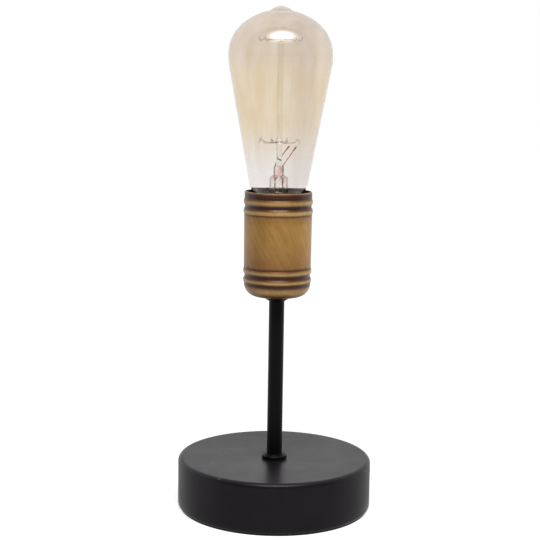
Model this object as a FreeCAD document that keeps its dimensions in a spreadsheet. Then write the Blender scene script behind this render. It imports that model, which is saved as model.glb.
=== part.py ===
import FreeCAD, Part
import math
import os
from types import SimpleNamespace

import Sketcher

# Table lamp with a bare filament bulb: a weighted round base, a slim tube, a beaded cup
# that hides the lampholder, and a pear-shaped bulb that screws in.
# Millimetres, +Z up. The origin is the centre of the pad's underside, on the table.
# The cable would leave through the bushing at +Y; the photographed side is -Y.

SIZES = {
    "Base": {
        "base_radius": 60.0,
        "base_height": 31.6,
        "pad_radius": 58.6,
        "pad_thickness": 1.2,
        "shell_wall": 1.2,
        "shell_shoulder": 2.8,
        "shell_foot_bend": 1.4,
        "shell_lip_radius": 55.0,
        "shell_dish": 1.2,
        "shell_seat_radius": 9.0,
        "tube_hole_radius": 5.05,
        "plate_radius": 54.8,
        "weight_radius": 48.0,
        "weight_thickness": 9.4,
        "weight_chamfer": 1.5,
        "boss_radius": 5.0,
        "boss_circle": 40.0,
        "plate_screw_radius": 1.95,
        "plate_screw_head_radius": 3.8,
        "plate_screw_head_height": 2.0,
        "plate_screw_length": 11.0,
        "screw_slot_width": 0.8,
        "screw_slot_depth": 0.9,
        "clamp_washer_radius": 11.0,
        "clamp_washer_thickness": 1.2,
        "bushing_height": 11.0,
        "bushing_radius": 5.5,
        "bushing_bore_radius": 3.4,
        "bushing_flange_radius": 7.2,
        "bushing_flange_reach": 1.8,
        "bushing_collar_radius": 6.3,
        "bushing_collar_gap": 0.4,
        "bushing_inner_length": 9.0,
        "bushing_collar_length": 1.6,
        "bushing_collar_ramp": 1.2,
        "bushing_flange_sink": 1.2,
        "bushing_flange_edge": 0.8,
        "bushing_bevel": 0.6,
    },
    "Wiring in the base": {
        "block_width": 27.0,
        "block_depth": 16.0,
        "block_front": 16.0,
        "block_bottom": 7.0,
        "pole_spacing": 8.5,
        "pole_height": 12.0,
        "barrel_radius": 2.4,
        "barrel_bore_radius": 1.3,
        "barrel_inset": 0.3,
        "pole_screw_radius": 1.25,
        "pole_screw_inset": 4.0,
        "pole_screw_recess": 0.4,
        "pole_well_radius": 1.6,
        "block_screw_radius": 1.5,
        "block_screw_head_radius": 2.8,
        "block_screw_head_height": 1.8,
        "block_screw_bite": 6.0,
        "lead_radius": 0.95,
        "conductor_radius": 0.55,
        "conductor_length": 6.0,
        "lug_x": 28.0,
        "lug_y": 2.0,
        "lug_ring_radius": 4.0,
        "lug_thickness": 0.8,
        "lug_barrel_radius": 1.6,
        "lug_barrel_length": 5.0,
        "earth_screw_radius": 2.0,
        "earth_screw_head_radius": 3.6,
        "earth_screw_head_height": 2.4,
        "earth_screw_bite": 6.0,
        "earth_screw_bevel": 0.6,
        "pole_slot_width": 0.5,
        "pole_rib_width": 1.0,
        "lead_play": 0.15,
        "lug_neck": 1.0,
        "lug_tongue_width": 2.4,
        "lug_overlap": 0.8,
        "lead_run_out": 4.0,
        "lead_in_tube_x": 1.25,
        "lead_dip_height": 8.2,
        "lead_turn_height": 145.4,
        "lead_spread_height": 146.8,
        "bare_end": 2.0,
    },
    "Stem": {
        "tube_radius": 4.75,
        "tube_bore_radius": 3.55,
        "tube_bottom": 13.6,
        "tube_top": 142.6,
        "nut_across_flats": 15.0,
        "base_nut_height": 4.0,
        "cover_nut_height": 2.4,
        "foot_collar_radius": 7.75,
        "foot_collar_flange": 2.2,
        "foot_collar_height": 3.1,
        "foot_collar_boss_radius": 6.2,
        "foot_collar_bevel": 0.4,
        "head_collar_radius": 7.6,
        "head_collar_height": 3.0,
        "head_collar_rim": 1.4,
        "head_collar_neck_radius": 5.2,
    },
    "Cover": {
        "cover_bottom": 133.0,
        "cover_height": 64.4,
        "cover_floor": 1.0,
        "cover_hole_radius": 4.95,
        "cover_inner_radius": 19.65,
        "cover_corner_radius": 8.0,
        "cover_foot_radius": 20.4,
        "cover_body_low_radius": 20.6,
        "cover_body_high_radius": 20.75,
        "cover_rim_radius": 20.6,
        "cover_rim_rounding": 0.25,
        "bead_width": 3.5,
        "bead_radius": 3.3,
        "bead_gap_radius": 2.0,
        "bead_one_low": 8.5,
        "bead_two_low": 14.2,
        "bead_three_low": 50.9,
        "bead_four_low": 56.6,
        "washer_play": 0.1,
        "cover_washer_radius": 9.5,
        "cover_washer_thickness": 0.8,
    },
    "Lampholder": {
        "holder_bottom": 137.5,
        "holder_radius": 17.0,
        "holder_top": 187.5,
        "holder_boss_radius": 7.5,
        "holder_cap_wall": 1.4,
        "holder_spigot_radius": 15.6,
        "holder_dome_start": 139.5,
        "holder_dome_end": 148.5,
        "holder_dome_bend": 13.0,
        "holder_split": 157.0,
        "holder_bore_radius": 14.2,
        "holder_mouth_radius": 15.6,
        "holder_mouth_depth": 1.8,
        "lead_hole_radius": 3.6,
        "carrier_radius": 14.6,
        "carrier_bottom": 154.0,
        "carrier_top": 160.0,
        "grub_screw_radius": 1.5,
        "grub_screw_height": 140.4,
        "grub_screw_stand": 2.5,
        "grub_slot_width": 0.6,
        "holder_stop_height": 1.8,
        "holder_ledge_width": 2.2,
        "holder_inner_dome": 4.0,
        "holder_edge": 0.8,
        "shell_sheet": 0.35,
        "shell_plain_radius": 12.6,
        "shell_floor_hole": 8.5,
        "shell_thread_start": 168.0,
        "shell_thread_end": 184.0,
        "contact_width": 5.0,
        "contact_sheet": 0.5,
        "contact_leaf_start": -7.6,
        "contact_leaf_bend": -2.9,
        "contact_leaf_rise": 0.6,
        "contact_leaf_end": 2.8,
        "contact_leaf_gap": 0.05,
        "rivet_radius": 1.3,
        "rivet_head_radius": 2.0,
        "rivet_head_height": 0.6,
        "centre_rivet_x": 5.5,
        "shell_rivet_x": 10.5,
        "terminal_tab": 0.8,
        "terminal_width": 6.0,
        "terminal_height": 4.6,
        "live_terminal_outer": 12.0,
        "live_terminal_inner": 7.4,
        "neutral_terminal_outer": 8.4,
        "neutral_terminal_inner": 3.8,
        "terminal_screw_height": 151.1,
        "terminal_slot_width": 0.5,
        "terminal_screw_radius": 1.1,
        "terminal_screw_length": 1.7,
    },
    "Bulb": {
        "thread_pitch": 3.629,
        "thread_throw": 0.475,
        "cap_thread_radius": 12.65,
        "thread_clearance": 0.2,
        "thread_ring_margin": 0.08,
        "cap_sheet": 0.35,
        "cap_flare_height": 1.8,
        "cap_foot_width": 0.7,
        "cap_top": 190.2,
        "cap_thread_start": 169.4,
        "cap_thread_end": 184.4,
        "cap_flare_radius": 13.55,
        "cap_skirt_radius": 13.25,
        "contact_bottom": 163.2,
        "contact_radius": 4.75,
        "contact_thickness": 1.2,
        "contact_dome_reach": 1.6,
        "contact_dome_rise": 0.7,
        "contact_dome_curve": 2.0,
        "insulator_bottom": 164.2,
        "insulator_top": 168.4,
        "insulator_radius": 11.2,
        "insulator_ledge": 0.7,
        "insulator_curve": 14.0,
        "insulator_seat": 0.8,
        "insulator_wall": 1.8,
        "glass_wall": 0.7,
        "glass_bottom": 185.2,
        "neck_radius": 12.3,
        "neck_top": 192.1,
        "neck_curve": 5.0,
        "shoulder_curve": 9.0,
        "shoulder_low_radius": 15.4,
        "shoulder_low": 197.27,
        "cone_low_radius": 17.89,
        "cone_low": 202.0,
        "cone_high_radius": 30.79,
        "cone_high": 272.06,
        "widest_radius": 31.45,
        "widest": 279.3,
        "widest_curve": 40.0,
        "dome_side_curve": 24.2,
        "dome_joint_radius": 22.1,
        "dome_joint": 298.4,
        "dome_top_curve": 36.0,
        "pip_foot_radius": 7.8,
        "pip_foot": 305.14,
        "pip_foot_curve": 5.0,
        "pip_side": 306.155,
        "pip_curve": 9.0,
        "bulb_tip": 308.2,
    },
    "Inside the bulb": {
        "flare_tube_radius": 5.65,
        "flare_wall": 0.8,
        "flare_tube_bottom": 196.0,
        "flare_tube_top": 204.5,
        "press_bottom": 206.6,
        "press_top": 212.7,
        "press_half_width": 3.1,
        "press_half_depth": 1.9,
        "press_rounding": 1.5,
        "flare_curve": 16.0,
        "flare_lip": 0.9,
        "flare_top_width": 2.2,
        "flare_top_curve": 2.6,
        "flare_roof": 1.0,
        "flare_inner_curve": 2.0,
        "rod_radius": 1.75,
        "low_button": 227.6,
        "high_button": 288.4,
        "button_half_height": 1.7,
        "button_curve": 2.482,
        "top_button_curve": 2.151,
        "cage_radius": 12.0,
        "support_radius": 0.16,
        "support_root": 0.9,
        "support_sag": 0.9,
        "support_sag_radius": 4.5,
        "knee_radius": 9.4,
        "notch_radius": 12.35,
        "tip_radius": 13.2,
        "high_notch": 287.6,
        "high_knee_rise": 0.9,
        "high_notch_depth": 0.13,
        "high_tip_rise": 2.4,
        "low_notch": 229.1,
        "low_knee_drop": 2.2,
        "low_notch_rise": 0.27,
        "low_tip_drop": 2.2,
        "sag_bend": 2.0,
        "knee_bend": 1.2,
        "notch_bend": 0.25,
        "filament_radius": 0.07,
        "filament_bend": 0.45,
        "lead_in_radius": 0.3,
        "lead_in_press_x": 2.15,
        "lead_in_drop_x": 2.6,
        "lead_in_weld_reach": 12.05,
        "lead_in_weld_height": 176.0,
        "lead_in_weld_run": 2.0,
        "lead_in_above_press": 1.3,
        "lead_in_pass_y": 1.0,
        "lead_in_top": 224.6,
        "clamp_radius": 0.48,
        "clamp_length": 2.6,
    },
}
HOOKS_PER_RING = 8
# Straight steps in one turn of a rolled thread.
STEPS_PER_TURN = 12
BOSS_ANGLES = (30, 150, 270)
# Where the two ends of the filament meet the lead-in wires, in degrees round the bulb.
FILAMENT_ENDS = (-30.0, 300.0)
# How far the hand-bent knees of the hooks stray up or down.
KNEE_STRAY = (0.2, -0.3, 0.15, -0.2, 0.3, -0.05, -0.15, 0.25)
# Corners of the leads between the terminal block and the tube's lower end, or the lug.
LIVE_DIP = (-4.4, 4.2, 6.5)
NEUTRAL_DIP = (0.8, 4.8, 6.6)
EARTH_RISE = [(10.1, 5.2, 15.4), (13.1, 2.0, 18.2)]
# How far a cutting shape reaches past the piece it cuts.
CLEAR = 1.0

doc = FreeCAD.newDocument("bare_bulb_table_lamp")
UP = FreeCAD.Vector(0, 0, 1)
ORIGIN = FreeCAD.Vector(0, 0, 0)


# ---------------------------------------------------------------- sizes and formulas

class Size:
    """A length from the sheet, or worked out from others, with the formula that gives it."""

    def __init__(self, value, formula):
        self.value = value
        self.formula = formula

    def _with(self, sign, other, value):
        return Size(value, f"({self.formula} {sign} {formula_of(other)})")

    def __add__(self, other):
        return self._with("+", other, self.value + value_of(other))

    def __sub__(self, other):
        return self._with("-", other, self.value - value_of(other))

    def __mul__(self, factor):
        return self._with("*", factor, self.value * value_of(factor))

    def __truediv__(self, divisor):
        return self._with("/", divisor, self.value / value_of(divisor))

    def __neg__(self):
        return Size(-self.value, f"(-1 * {self.formula})")

    def root(self):
        return Size(math.sqrt(self.value), f"sqrt({self.formula})")


def value_of(length):
    return length.value if isinstance(length, Size) else float(length)


def formula_of(length):
    return length.formula if isinstance(length, Size) else repr(float(length))


def write_sheet():
    """Fill the sheet, one row for each size, and return the sizes by name."""
    sheet = doc.addObject("Spreadsheet::Sheet", "sizes")
    row = 0
    found = {}
    for group, entries in SIZES.items():
        row += 1
        sheet.set(f"A{row}", group)
        for alias, value in entries.items():
            row += 1
            sheet.set(f"A{row}", alias)
            sheet.set(f"B{row}", str(value))
            sheet.setAlias(f"B{row}", alias)
            found[alias] = Size(value, f"sizes.{alias}")
    doc.recompute()
    return SimpleNamespace(**found)


dim = write_sheet()


# ---------------------------------------------------------------- building blocks

def new_body(label):
    body = doc.addObject("PartDesign::Body", label)
    body.Label = label
    return body


def plane_sketch(body, role, name, height=0.0):
    """A sketch on one of the body's own origin planes, raised along the plane's normal."""
    sketch = body.newObject("Sketcher::SketchObject", name)
    plane = next(item for item in body.Origin.OriginFeatures if item.Role == role)
    sketch.AttachmentSupport = (plane, "")
    sketch.MapMode = "FlatFace"
    sketch.AttachmentOffset = FreeCAD.Placement(FreeCAD.Vector(0, 0, value_of(height)),
                                                FreeCAD.Rotation())
    if isinstance(height, Size):
        sketch.setExpression("AttachmentOffset.Base.z", height.formula)
    return sketch


def bind_constraint(sketch, constraint, name, length):
    index = sketch.addConstraint(constraint)
    sketch.renameConstraint(index, name)
    if isinstance(length, Size):
        sketch.setExpression(f"Constraints.{name}", length.formula)


def arc_between(start, end, bend):
    """An arc under a half circle; a positive bend turns left on the way to its end."""
    chord = end - start
    middle = (start + end) / 2
    reach = math.sqrt(bend ** 2 - (chord.Length / 2) ** 2)
    left = FreeCAD.Vector(-chord.y, chord.x, 0).normalize()
    centre = middle + left * math.copysign(reach, bend)
    first, last = (start, end) if bend > 0 else (end, start)
    angles = [math.atan2(p.y - centre.y, p.x - centre.x) for p in (first, last)]
    circle = Part.Circle(centre, UP, abs(bend))
    return Part.ArcOfCircle(circle, angles[0], angles[1])


def draw_outline(sketch, path):
    """A closed outline of (x, y) corners; a third value is the arc radius on the way there."""
    count = len(path)
    points = [FreeCAD.Vector(value_of(step[0]), value_of(step[1]), 0) for step in path]
    start_pos = []
    end_pos = []
    for i, step in enumerate(path):
        begin = points[i - 1]
        end = points[i]
        if len(step) == 3:
            bend = value_of(step[2])
            sketch.addGeometry(arc_between(begin, end, bend), False)
            start_pos.append(1 if bend > 0 else 2)
            end_pos.append(2 if bend > 0 else 1)
        else:
            sketch.addGeometry(Part.LineSegment(begin, end), False)
            start_pos.append(1)
            end_pos.append(2)
    for i in range(count):
        after = (i + 1) % count
        sketch.addConstraint(Sketcher.Constraint("Coincident", i, end_pos[i], after, start_pos[after]))
    for i, step in enumerate(path):
        for axis, name, length in (("DistanceX", "across", step[0]), ("DistanceY", "up", step[1])):
            rule = Sketcher.Constraint(axis, -1, 1, i, end_pos[i], value_of(length))
            bind_constraint(sketch, rule, f"{name}_{i}", length)
        if len(step) == 3:
            bend = step[2] if value_of(step[2]) > 0 else -step[2]
            rule = Sketcher.Constraint("Radius", i, value_of(bend))
            bind_constraint(sketch, rule, f"bend_{i}", bend)


def draw_circles(sketch, circles):
    """Whole circles given as (x, y, radius)."""
    for i, (x, y, radius) in enumerate(circles):
        centre = FreeCAD.Vector(value_of(x), value_of(y), 0)
        sketch.addGeometry(Part.Circle(centre, UP, value_of(radius)), False)
        rule = Sketcher.Constraint("Radius", i, value_of(radius))
        bind_constraint(sketch, rule, f"radius_{i}", radius)
        for axis, name, length in (("DistanceX", "across", x), ("DistanceY", "up", y)):
            rule = Sketcher.Constraint(axis, -1, 1, i, 3, value_of(length))
            bind_constraint(sketch, rule, f"{name}_{i}", length)


def turned(body, path):
    """A solid of revolution about Z from an outline of (radius, height) corners."""
    sketch = plane_sketch(body, "XZ_Plane", f"{body.Name}_section")
    draw_outline(sketch, path)
    feature = body.newObject("PartDesign::Revolution", f"{body.Name}_turned")
    feature.Profile = sketch
    feature.ReferenceAxis = (sketch, ["V_Axis"])
    feature.Angle = 360
    doc.recompute()
    return body


def turned_body(label, path):
    return turned(new_body(label), path)


def swept_block(body, kind, name, draw, role, start, length, reverse=False):
    """A pad or pocket of a sketch, drawn by draw(sketch), from start along its plane's normal."""
    sketch = plane_sketch(body, role, f"{body.Name}_{name}_sketch", start)
    draw(sketch)
    feature = body.newObject(kind, f"{body.Name}_{name}")
    feature.Profile = sketch
    feature.Length = value_of(length)
    if isinstance(length, Size):
        feature.setExpression("Length", length.formula)
    feature.Reversed = reverse
    before = body.Shape.Volume if body.Shape.Solids else 0.0
    doc.recompute()
    if abs(body.Shape.Volume - before) < 1e-6:
        raise RuntimeError(f"{feature.Name} changed nothing")
    return feature


def add_pad(body, name, draw, start, length, role="XY_Plane", reverse=False):
    return swept_block(body, "PartDesign::Pad", name, draw, role, start, length, reverse)


def cut_pocket(body, name, draw, start, length, role="XY_Plane", reverse=True):
    """A pocket cuts against its plane's normal, so it is reversed to cut along it."""
    return swept_block(body, "PartDesign::Pocket", name, draw, role, start, length, reverse)


def rectangle(x_low, x_high, y_low, y_high):
    corners = [(x_low, y_low), (x_high, y_low), (x_high, y_high), (x_low, y_high)]
    return lambda sketch: draw_outline(sketch, corners)


def circles(*entries):
    return lambda sketch: draw_circles(sketch, entries)


def fixed_shape(label, shape):
    """A piece whose shape is made directly."""
    piece = doc.addObject("Part::Feature", label)
    piece.Label = label
    piece.Shape = shape
    piece.Placement = shape.Placement
    return piece


def cut_by(label, blank, *tools):
    """The blank with the tools' solids taken out of it."""
    base = blank
    for i, tool in enumerate(tools):
        cut = doc.addObject("Part::Cut", f"{label}_cut_{i}")
        cut.Base = base
        cut.Tool = tool
        base = cut
    base.Label = label
    doc.recompute()
    return base


def fused(label, base, tool):
    whole = doc.addObject("Part::Fuse", label)
    whole.Base = base
    whole.Tool = tool
    whole.Label = label
    doc.recompute()
    return whole


def rod(start, end, radius):
    """A plain round bar from one point to another."""
    start = FreeCAD.Vector(*start)
    along = FreeCAD.Vector(*end) - start
    return Part.makeCylinder(value_of(radius), along.Length, start, along)


def rounded_path(points, bends):
    """Straight runs through the points, each inner corner rounded by a tangent arc."""
    points = [FreeCAD.Vector(*point) for point in points]
    edges = []
    last = points[0]
    for corner, after, bend in zip(points[1:-1], points[2:], bends):
        arriving = (corner - last).normalize()
        leaving = (after - corner).normalize()
        turn = arriving.getAngle(leaving)
        reach = bend * math.tan(turn / 2)
        enter = corner - arriving * reach
        leave = corner + leaving * reach
        inward = (leaving - arriving).normalize()
        middle = corner + inward * (bend / math.cos(turn / 2) - bend)
        edges.append(Part.LineSegment(last, enter).toShape())
        edges.append(Part.Arc(enter, middle, leave).toShape())
        last = leave
    edges.append(Part.LineSegment(last, points[-1]).toShape())
    return Part.Wire(edges)


def tube_along(path, radius):
    """A round solid along a wire of straight runs and tangent arcs."""
    first = path.Edges[0]
    start = first.valueAt(first.FirstParameter)
    direction = first.tangentAt(first.FirstParameter)
    profile = Part.Wire([Part.Circle(start, direction, radius).toShape()])
    solid = path.makePipeShell([profile], True, False)
    ideal = math.pi * radius ** 2 * path.Length
    if abs(solid.Volume / ideal - 1) > 0.01:
        raise RuntimeError(f"tube of volume {solid.Volume:.3f} should hold {ideal:.3f}")
    return solid


def climbing_disc(radius, low, high):
    """The space swept by a level disc whose centre climbs the thread's small helix."""
    pitch = dim.thread_pitch.value
    throw = dim.thread_throw.value
    steps = round((high - low) / pitch * STEPS_PER_TURN)
    rings = []
    for i in range(steps + 1):
        height = low + (high - low) * i / steps
        turn = 2 * math.pi * (height - dim.shell_thread_start.value) / pitch
        centre = FreeCAD.Vector(throw * math.cos(turn), throw * math.sin(turn), height)
        rings.append(Part.Wire([Part.Circle(centre, UP, radius).toShape()]))
    return Part.makeLoft(rings, True, True)


def hex_nut(label, bottom, height):
    """A hexagon nut on the tube's thread, its corners bevelled at both faces."""
    body = new_body(label)
    half_flat = dim.nut_across_flats / 2
    corner = half_flat * (2 / math.sqrt(3))
    across = [(corner * math.cos(math.radians(60 * k)), corner * math.sin(math.radians(60 * k)))
              for k in range(6)]
    add_pad(body, "hexagon", lambda sketch: draw_outline(sketch, across), bottom, height)
    cut_pocket(body, "thread", circles((0, 0, dim.tube_radius)), bottom, height)
    bevel = corner - half_flat
    outside = corner + 1
    top = bottom + height
    for name, face, inner in (("low", bottom, bottom + bevel * 0.6), ("high", top, top - bevel * 0.6)):
        sketch = plane_sketch(body, "XZ_Plane", f"{label}_{name}_bevel_sketch")
        draw_outline(sketch, [(half_flat, face), (outside, face), (outside, inner), (corner, inner)])
        groove = body.newObject("PartDesign::Groove", f"{label}_{name}_bevel")
        groove.Profile = sketch
        groove.ReferenceAxis = (sketch, ["V_Axis"])
        groove.Angle = 360
    doc.recompute()
    return body


# ---------------------------------------------------------------- base

def shell_bottom():
    return dim.pad_thickness


def seat_height():
    """Where the foot collar sits: the shell's top, drawn down round the tube."""
    return dim.base_height - dim.shell_dish


def ceiling():
    """Underside of the base shell's top at the tube."""
    return seat_height() - dim.shell_wall


def weight_bottom():
    return ceiling() - dim.weight_thickness


def make_base_pad():
    return [turned_body("base_pad", [(0, 0), (dim.pad_radius, 0),
                                     (dim.pad_radius, dim.pad_thickness), (0, dim.pad_thickness)])]


def make_base_shell():
    """Drawn steel drum, dished to the tube, open below, its edge turned in under the rim."""
    low = shell_bottom()
    top = dim.base_height
    radius = dim.base_radius
    wall = dim.shell_wall
    inner = radius - wall
    foot = dim.shell_foot_bend
    shoulder = dim.shell_shoulder
    seat = dim.shell_seat_radius
    body = turned_body("base_shell", [
        (dim.shell_lip_radius, low), (radius - foot, low), (radius, low + foot, foot),
        (radius, top - shoulder), (radius - shoulder, top, shoulder), (seat, seat_height()),
        (dim.tube_hole_radius, seat_height()), (dim.tube_hole_radius, ceiling()), (seat, ceiling()),
        (radius - shoulder, top - wall), (inner, top - shoulder, -(shoulder - wall)),
        (inner, low + foot), (radius - foot, low + wall, -(foot - wall)),
        (dim.shell_lip_radius, low + wall)])
    cut_pocket(body, "cable_hole", circles((0, dim.bushing_height, dim.bushing_radius)),
               -dim.base_radius - CLEAR, dim.shell_wall + CLEAR * 3, role="XZ_Plane")
    return [body]


def boss_places():
    return [(math.cos(math.radians(a)), math.sin(math.radians(a))) for a in BOSS_ANGLES]


def make_plate_screws():
    """Three countersunk screws, slotted, that hold the bottom plate to the weight."""
    low = shell_bottom()
    head_top = low + dim.plate_screw_head_height
    body = turned_body("plate_screw", [
        (0, low), (dim.plate_screw_head_radius, low), (dim.plate_screw_radius, head_top),
        (dim.plate_screw_radius, low + dim.plate_screw_length), (0, low + dim.plate_screw_length)])
    slot = dim.screw_slot_width / 2
    reach = dim.plate_screw_head_radius + CLEAR
    cut_pocket(body, "slot", rectangle(-reach, reach, -slot, slot), low, dim.screw_slot_depth)
    screws = []
    for x, y in boss_places():
        copy = body.Shape.copy()
        copy.translate(FreeCAD.Vector(x, y, 0) * dim.boss_circle.value)
        screws.append(copy)
    return fixed_shape("plate_screws", Part.makeCompound(screws))


def plate_screw_envelopes():
    """The screws without their slots, to clear their seats in the plate and the weight."""
    low = dim.pad_thickness.value
    head = dim.plate_screw_head_height.value
    wide = dim.plate_screw_head_radius.value
    slim = dim.plate_screw_radius.value
    shapes = []
    for x, y in boss_places():
        place = FreeCAD.Vector(x, y, 0) * dim.boss_circle.value + UP * low
        cone = Part.makeCone(wide, slim, head, place)
        shank = Part.makeCylinder(slim, dim.plate_screw_length.value, place)
        shapes.append(cone.fuse(shank))
    return fixed_shape("plate_screw_seats", Part.makeCompound(shapes))


def block_screw_places():
    return [(side * dim.pole_spacing.value / 2, dim.block_front.value + dim.block_depth.value / 2)
            for side in (-1, 1)]


def make_block_screws():
    """Two cheese-head screws that hang the terminal block under the weight."""
    top = weight_bottom().value + dim.block_screw_bite.value
    face = dim.block_bottom.value
    head = dim.block_screw_head_height.value
    reach = dim.block_screw_head_radius.value + CLEAR
    width = dim.screw_slot_width.value
    screws = []
    for x, y in block_screw_places():
        shank = rod((x, y, face), (x, y, top), dim.block_screw_radius)
        cap = rod((x, y, face - head), (x, y, face), dim.block_screw_head_radius)
        slot = Part.makeBox(2 * reach, width, dim.screw_slot_depth.value,
                            FreeCAD.Vector(x - reach, y - width / 2, face - head))
        screws.append(shank.fuse(cap).removeSplitter().cut(slot))
    return fixed_shape("block_screws", Part.makeCompound(screws))


def make_earth_screw():
    """The pan-head screw that clamps the earth lug to the weight."""
    lug_under = weight_bottom() - dim.lug_thickness
    head_under = lug_under - dim.earth_screw_head_height
    top = weight_bottom() + dim.earth_screw_bite
    bevel = dim.earth_screw_bevel
    body = turned_body("earth_screw", [
        (0, head_under), (dim.earth_screw_head_radius - bevel, head_under),
        (dim.earth_screw_head_radius, head_under + bevel), (dim.earth_screw_head_radius, lug_under),
        (dim.earth_screw_radius, lug_under), (dim.earth_screw_radius, top), (0, top)])
    slot = dim.screw_slot_width / 2
    reach = dim.earth_screw_head_radius + CLEAR
    cut_pocket(body, "slot", rectangle(-reach, reach, -slot, slot), head_under, dim.screw_slot_depth)
    body.Placement = FreeCAD.Placement(FreeCAD.Vector(dim.lug_x.value, dim.lug_y.value, 0),
                                       FreeCAD.Rotation())
    body.setExpression("Placement.Base.x", dim.lug_x.formula)
    body.setExpression("Placement.Base.y", dim.lug_y.formula)
    doc.recompute()
    return body


def make_weight_and_plate():
    """Cast ballast with three bosses, the steel plate below it and the screws between."""
    screws = make_plate_screws()
    seats = plate_screw_envelopes()
    block_screws = make_block_screws()
    earth_screw = make_earth_screw()
    low = weight_bottom()
    chamfer = dim.weight_chamfer
    casting = turned_body("weight_casting", [
        (dim.tube_hole_radius, low), (dim.weight_radius - chamfer, low),
        (dim.weight_radius, low + chamfer), (dim.weight_radius, ceiling() - chamfer),
        (dim.weight_radius - chamfer, ceiling()), (dim.tube_hole_radius, ceiling())])
    plate_top = shell_bottom() + dim.shell_wall
    bosses = [(dim.boss_circle * x, dim.boss_circle * y, dim.boss_radius) for x, y in boss_places()]
    add_pad(casting, "bosses", circles(*bosses), plate_top, low - plate_top + CLEAR)
    disc = turned_body("plate_disc", [
        (0, shell_bottom()), (dim.plate_radius, shell_bottom()),
        (dim.plate_radius, plate_top), (0, plate_top)])
    weight = cut_by("base_weight", casting, seats, block_screws, earth_screw)
    plate = cut_by("bottom_plate", disc, seats)
    return [weight, plate, screws, block_screws, earth_screw]


def make_cable_bushing():
    """Insulating bushing in the rear wall: a flange outside, a snap collar inside, a round bore."""
    wall_in = dim.base_radius - dim.shell_wall
    collar_start = wall_in - dim.bushing_collar_gap
    collar_end = collar_start - dim.bushing_collar_length
    tip = wall_in - dim.bushing_inner_length
    sink = dim.base_radius - dim.bushing_flange_sink
    face = dim.base_radius + dim.bushing_flange_reach
    edge = dim.bushing_flange_edge
    bevel = dim.bushing_bevel
    flange = dim.bushing_flange_radius
    radius = dim.bushing_radius
    bore = dim.bushing_bore_radius
    blank = turned_body("bushing_blank", [
        (bore, tip), (radius - bevel, tip), (radius, tip + bevel),
        (radius, collar_end - dim.bushing_collar_ramp), (dim.bushing_collar_radius, collar_end),
        (dim.bushing_collar_radius, collar_start - dim.bushing_collar_gap),
        (radius, collar_start), (radius, sink), (flange, sink), (flange, face - edge),
        (flange - edge, face), (bore + bevel, face), (bore, face - bevel)])
    blank.Placement = FreeCAD.Placement(FreeCAD.Vector(0, 0, dim.bushing_height.value),
                                        FreeCAD.Rotation(FreeCAD.Vector(1, 0, 0), -90))
    blank.setExpression("Placement.Base.z", dim.bushing_height.formula)
    drum = Part.makeCylinder(dim.base_radius.value, dim.base_height.value)
    throat = rod((0, 0, dim.bushing_height.value), (0, face.value, dim.bushing_height.value), radius)
    seat = fixed_shape("bushing_seat", drum.cut(throat))
    return [cut_by("cable_bushing", blank, seat)]


# ---------------------------------------------------------------- wiring

def pole_places():
    """X of the live, neutral and earth poles."""
    return [-dim.pole_spacing.value, 0.0, dim.pole_spacing.value]


def pole_screw_places():
    front = dim.block_front.value + dim.pole_screw_inset.value
    back = dim.block_front.value + dim.block_depth.value - dim.pole_screw_inset.value
    return [(x, y) for x in pole_places() for y in (front, back)]


def make_terminal_block():
    """Three-pole block: a moulded body, brass barrels along Y and clamp screws from below."""
    front = dim.block_front.value
    back = front + dim.block_depth.value
    low = dim.block_bottom.value
    height = dim.pole_height.value
    inset = dim.barrel_inset.value
    tip = height - dim.conductor_radius.value
    head = low + dim.pole_screw_recess.value
    width = dim.pole_slot_width.value
    reach = dim.pole_screw_radius.value + CLEAR
    screws = []
    for x, y in pole_screw_places():
        screw = rod((x, y, head), (x, y, tip), dim.pole_screw_radius)
        slot = Part.makeBox(2 * reach, width, width, FreeCAD.Vector(x - reach, y - width / 2, head))
        screws.append(screw.cut(slot))
    pole_screws = fixed_shape("pole_screws", Part.makeCompound(screws))
    barrels = []
    wells = []
    for x in pole_places():
        outer = rod((x, front + inset, height), (x, back - inset, height), dim.barrel_radius)
        bore = rod((x, front, height), (x, back, height), dim.barrel_bore_radius)
        barrels.append(outer.cut(bore))
        wells.append(outer)
        wells.append(rod((x, front, height), (x, back, height), dim.lead_radius + dim.lead_play))
    for x, y in pole_screw_places():
        tapped = rod((x, y, low), (x, y, height), dim.pole_screw_radius)
        barrels = [barrel.cut(tapped) for barrel in barrels]
        wells.append(rod((x, y, low), (x, y, height), dim.pole_well_radius))
    terminal_barrels = fixed_shape("terminal_barrels", Part.makeCompound(barrels))
    body = new_body("block_moulding")
    half = dim.block_width / 2
    add_pad(body, "brick", rectangle(-half, half, dim.block_front, dim.block_front + dim.block_depth),
            dim.block_bottom, weight_bottom() - dim.block_bottom)
    rib = dim.pole_rib_width
    for sign, name in ((-1, "left_groove"), (1, "right_groove")):
        middle = dim.pole_spacing / 2 * sign
        groove = rectangle(middle - rib / 2, middle + rib / 2, dim.block_front, dim.block_front + rib)
        cut_pocket(body, name, groove, dim.block_bottom, weight_bottom() - dim.block_bottom)
    hollows = fixed_shape("block_hollows", Part.makeCompound(wells))
    return cut_by("terminal_block", body, hollows, doc.getObject("block_screws")), \
        terminal_barrels, pole_screws


def lead_with_bare_ends(label, points, bends, bare_start, bare_end):
    """An insulated lead along its route, with the conductor showing at each end."""
    path = rounded_path(points, bends)
    lead = tube_along(path, dim.lead_radius.value)
    for end, inward, length in ((points[0], points[1], bare_start), (points[-1], points[-2], bare_end)):
        end = FreeCAD.Vector(*end)
        outward = (end - FreeCAD.Vector(*inward)).normalize()
        core = Part.makeCylinder(dim.conductor_radius.value, length + CLEAR, end - outward * CLEAR,
                                 outward)
        lead = lead.fuse(core)
    shortest = min(bends)
    print(f"{label}: {path.Length:.1f} mm of lead, smallest radius {shortest:.1f} mm")
    return fixed_shape(label, lead.removeSplitter())


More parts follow.
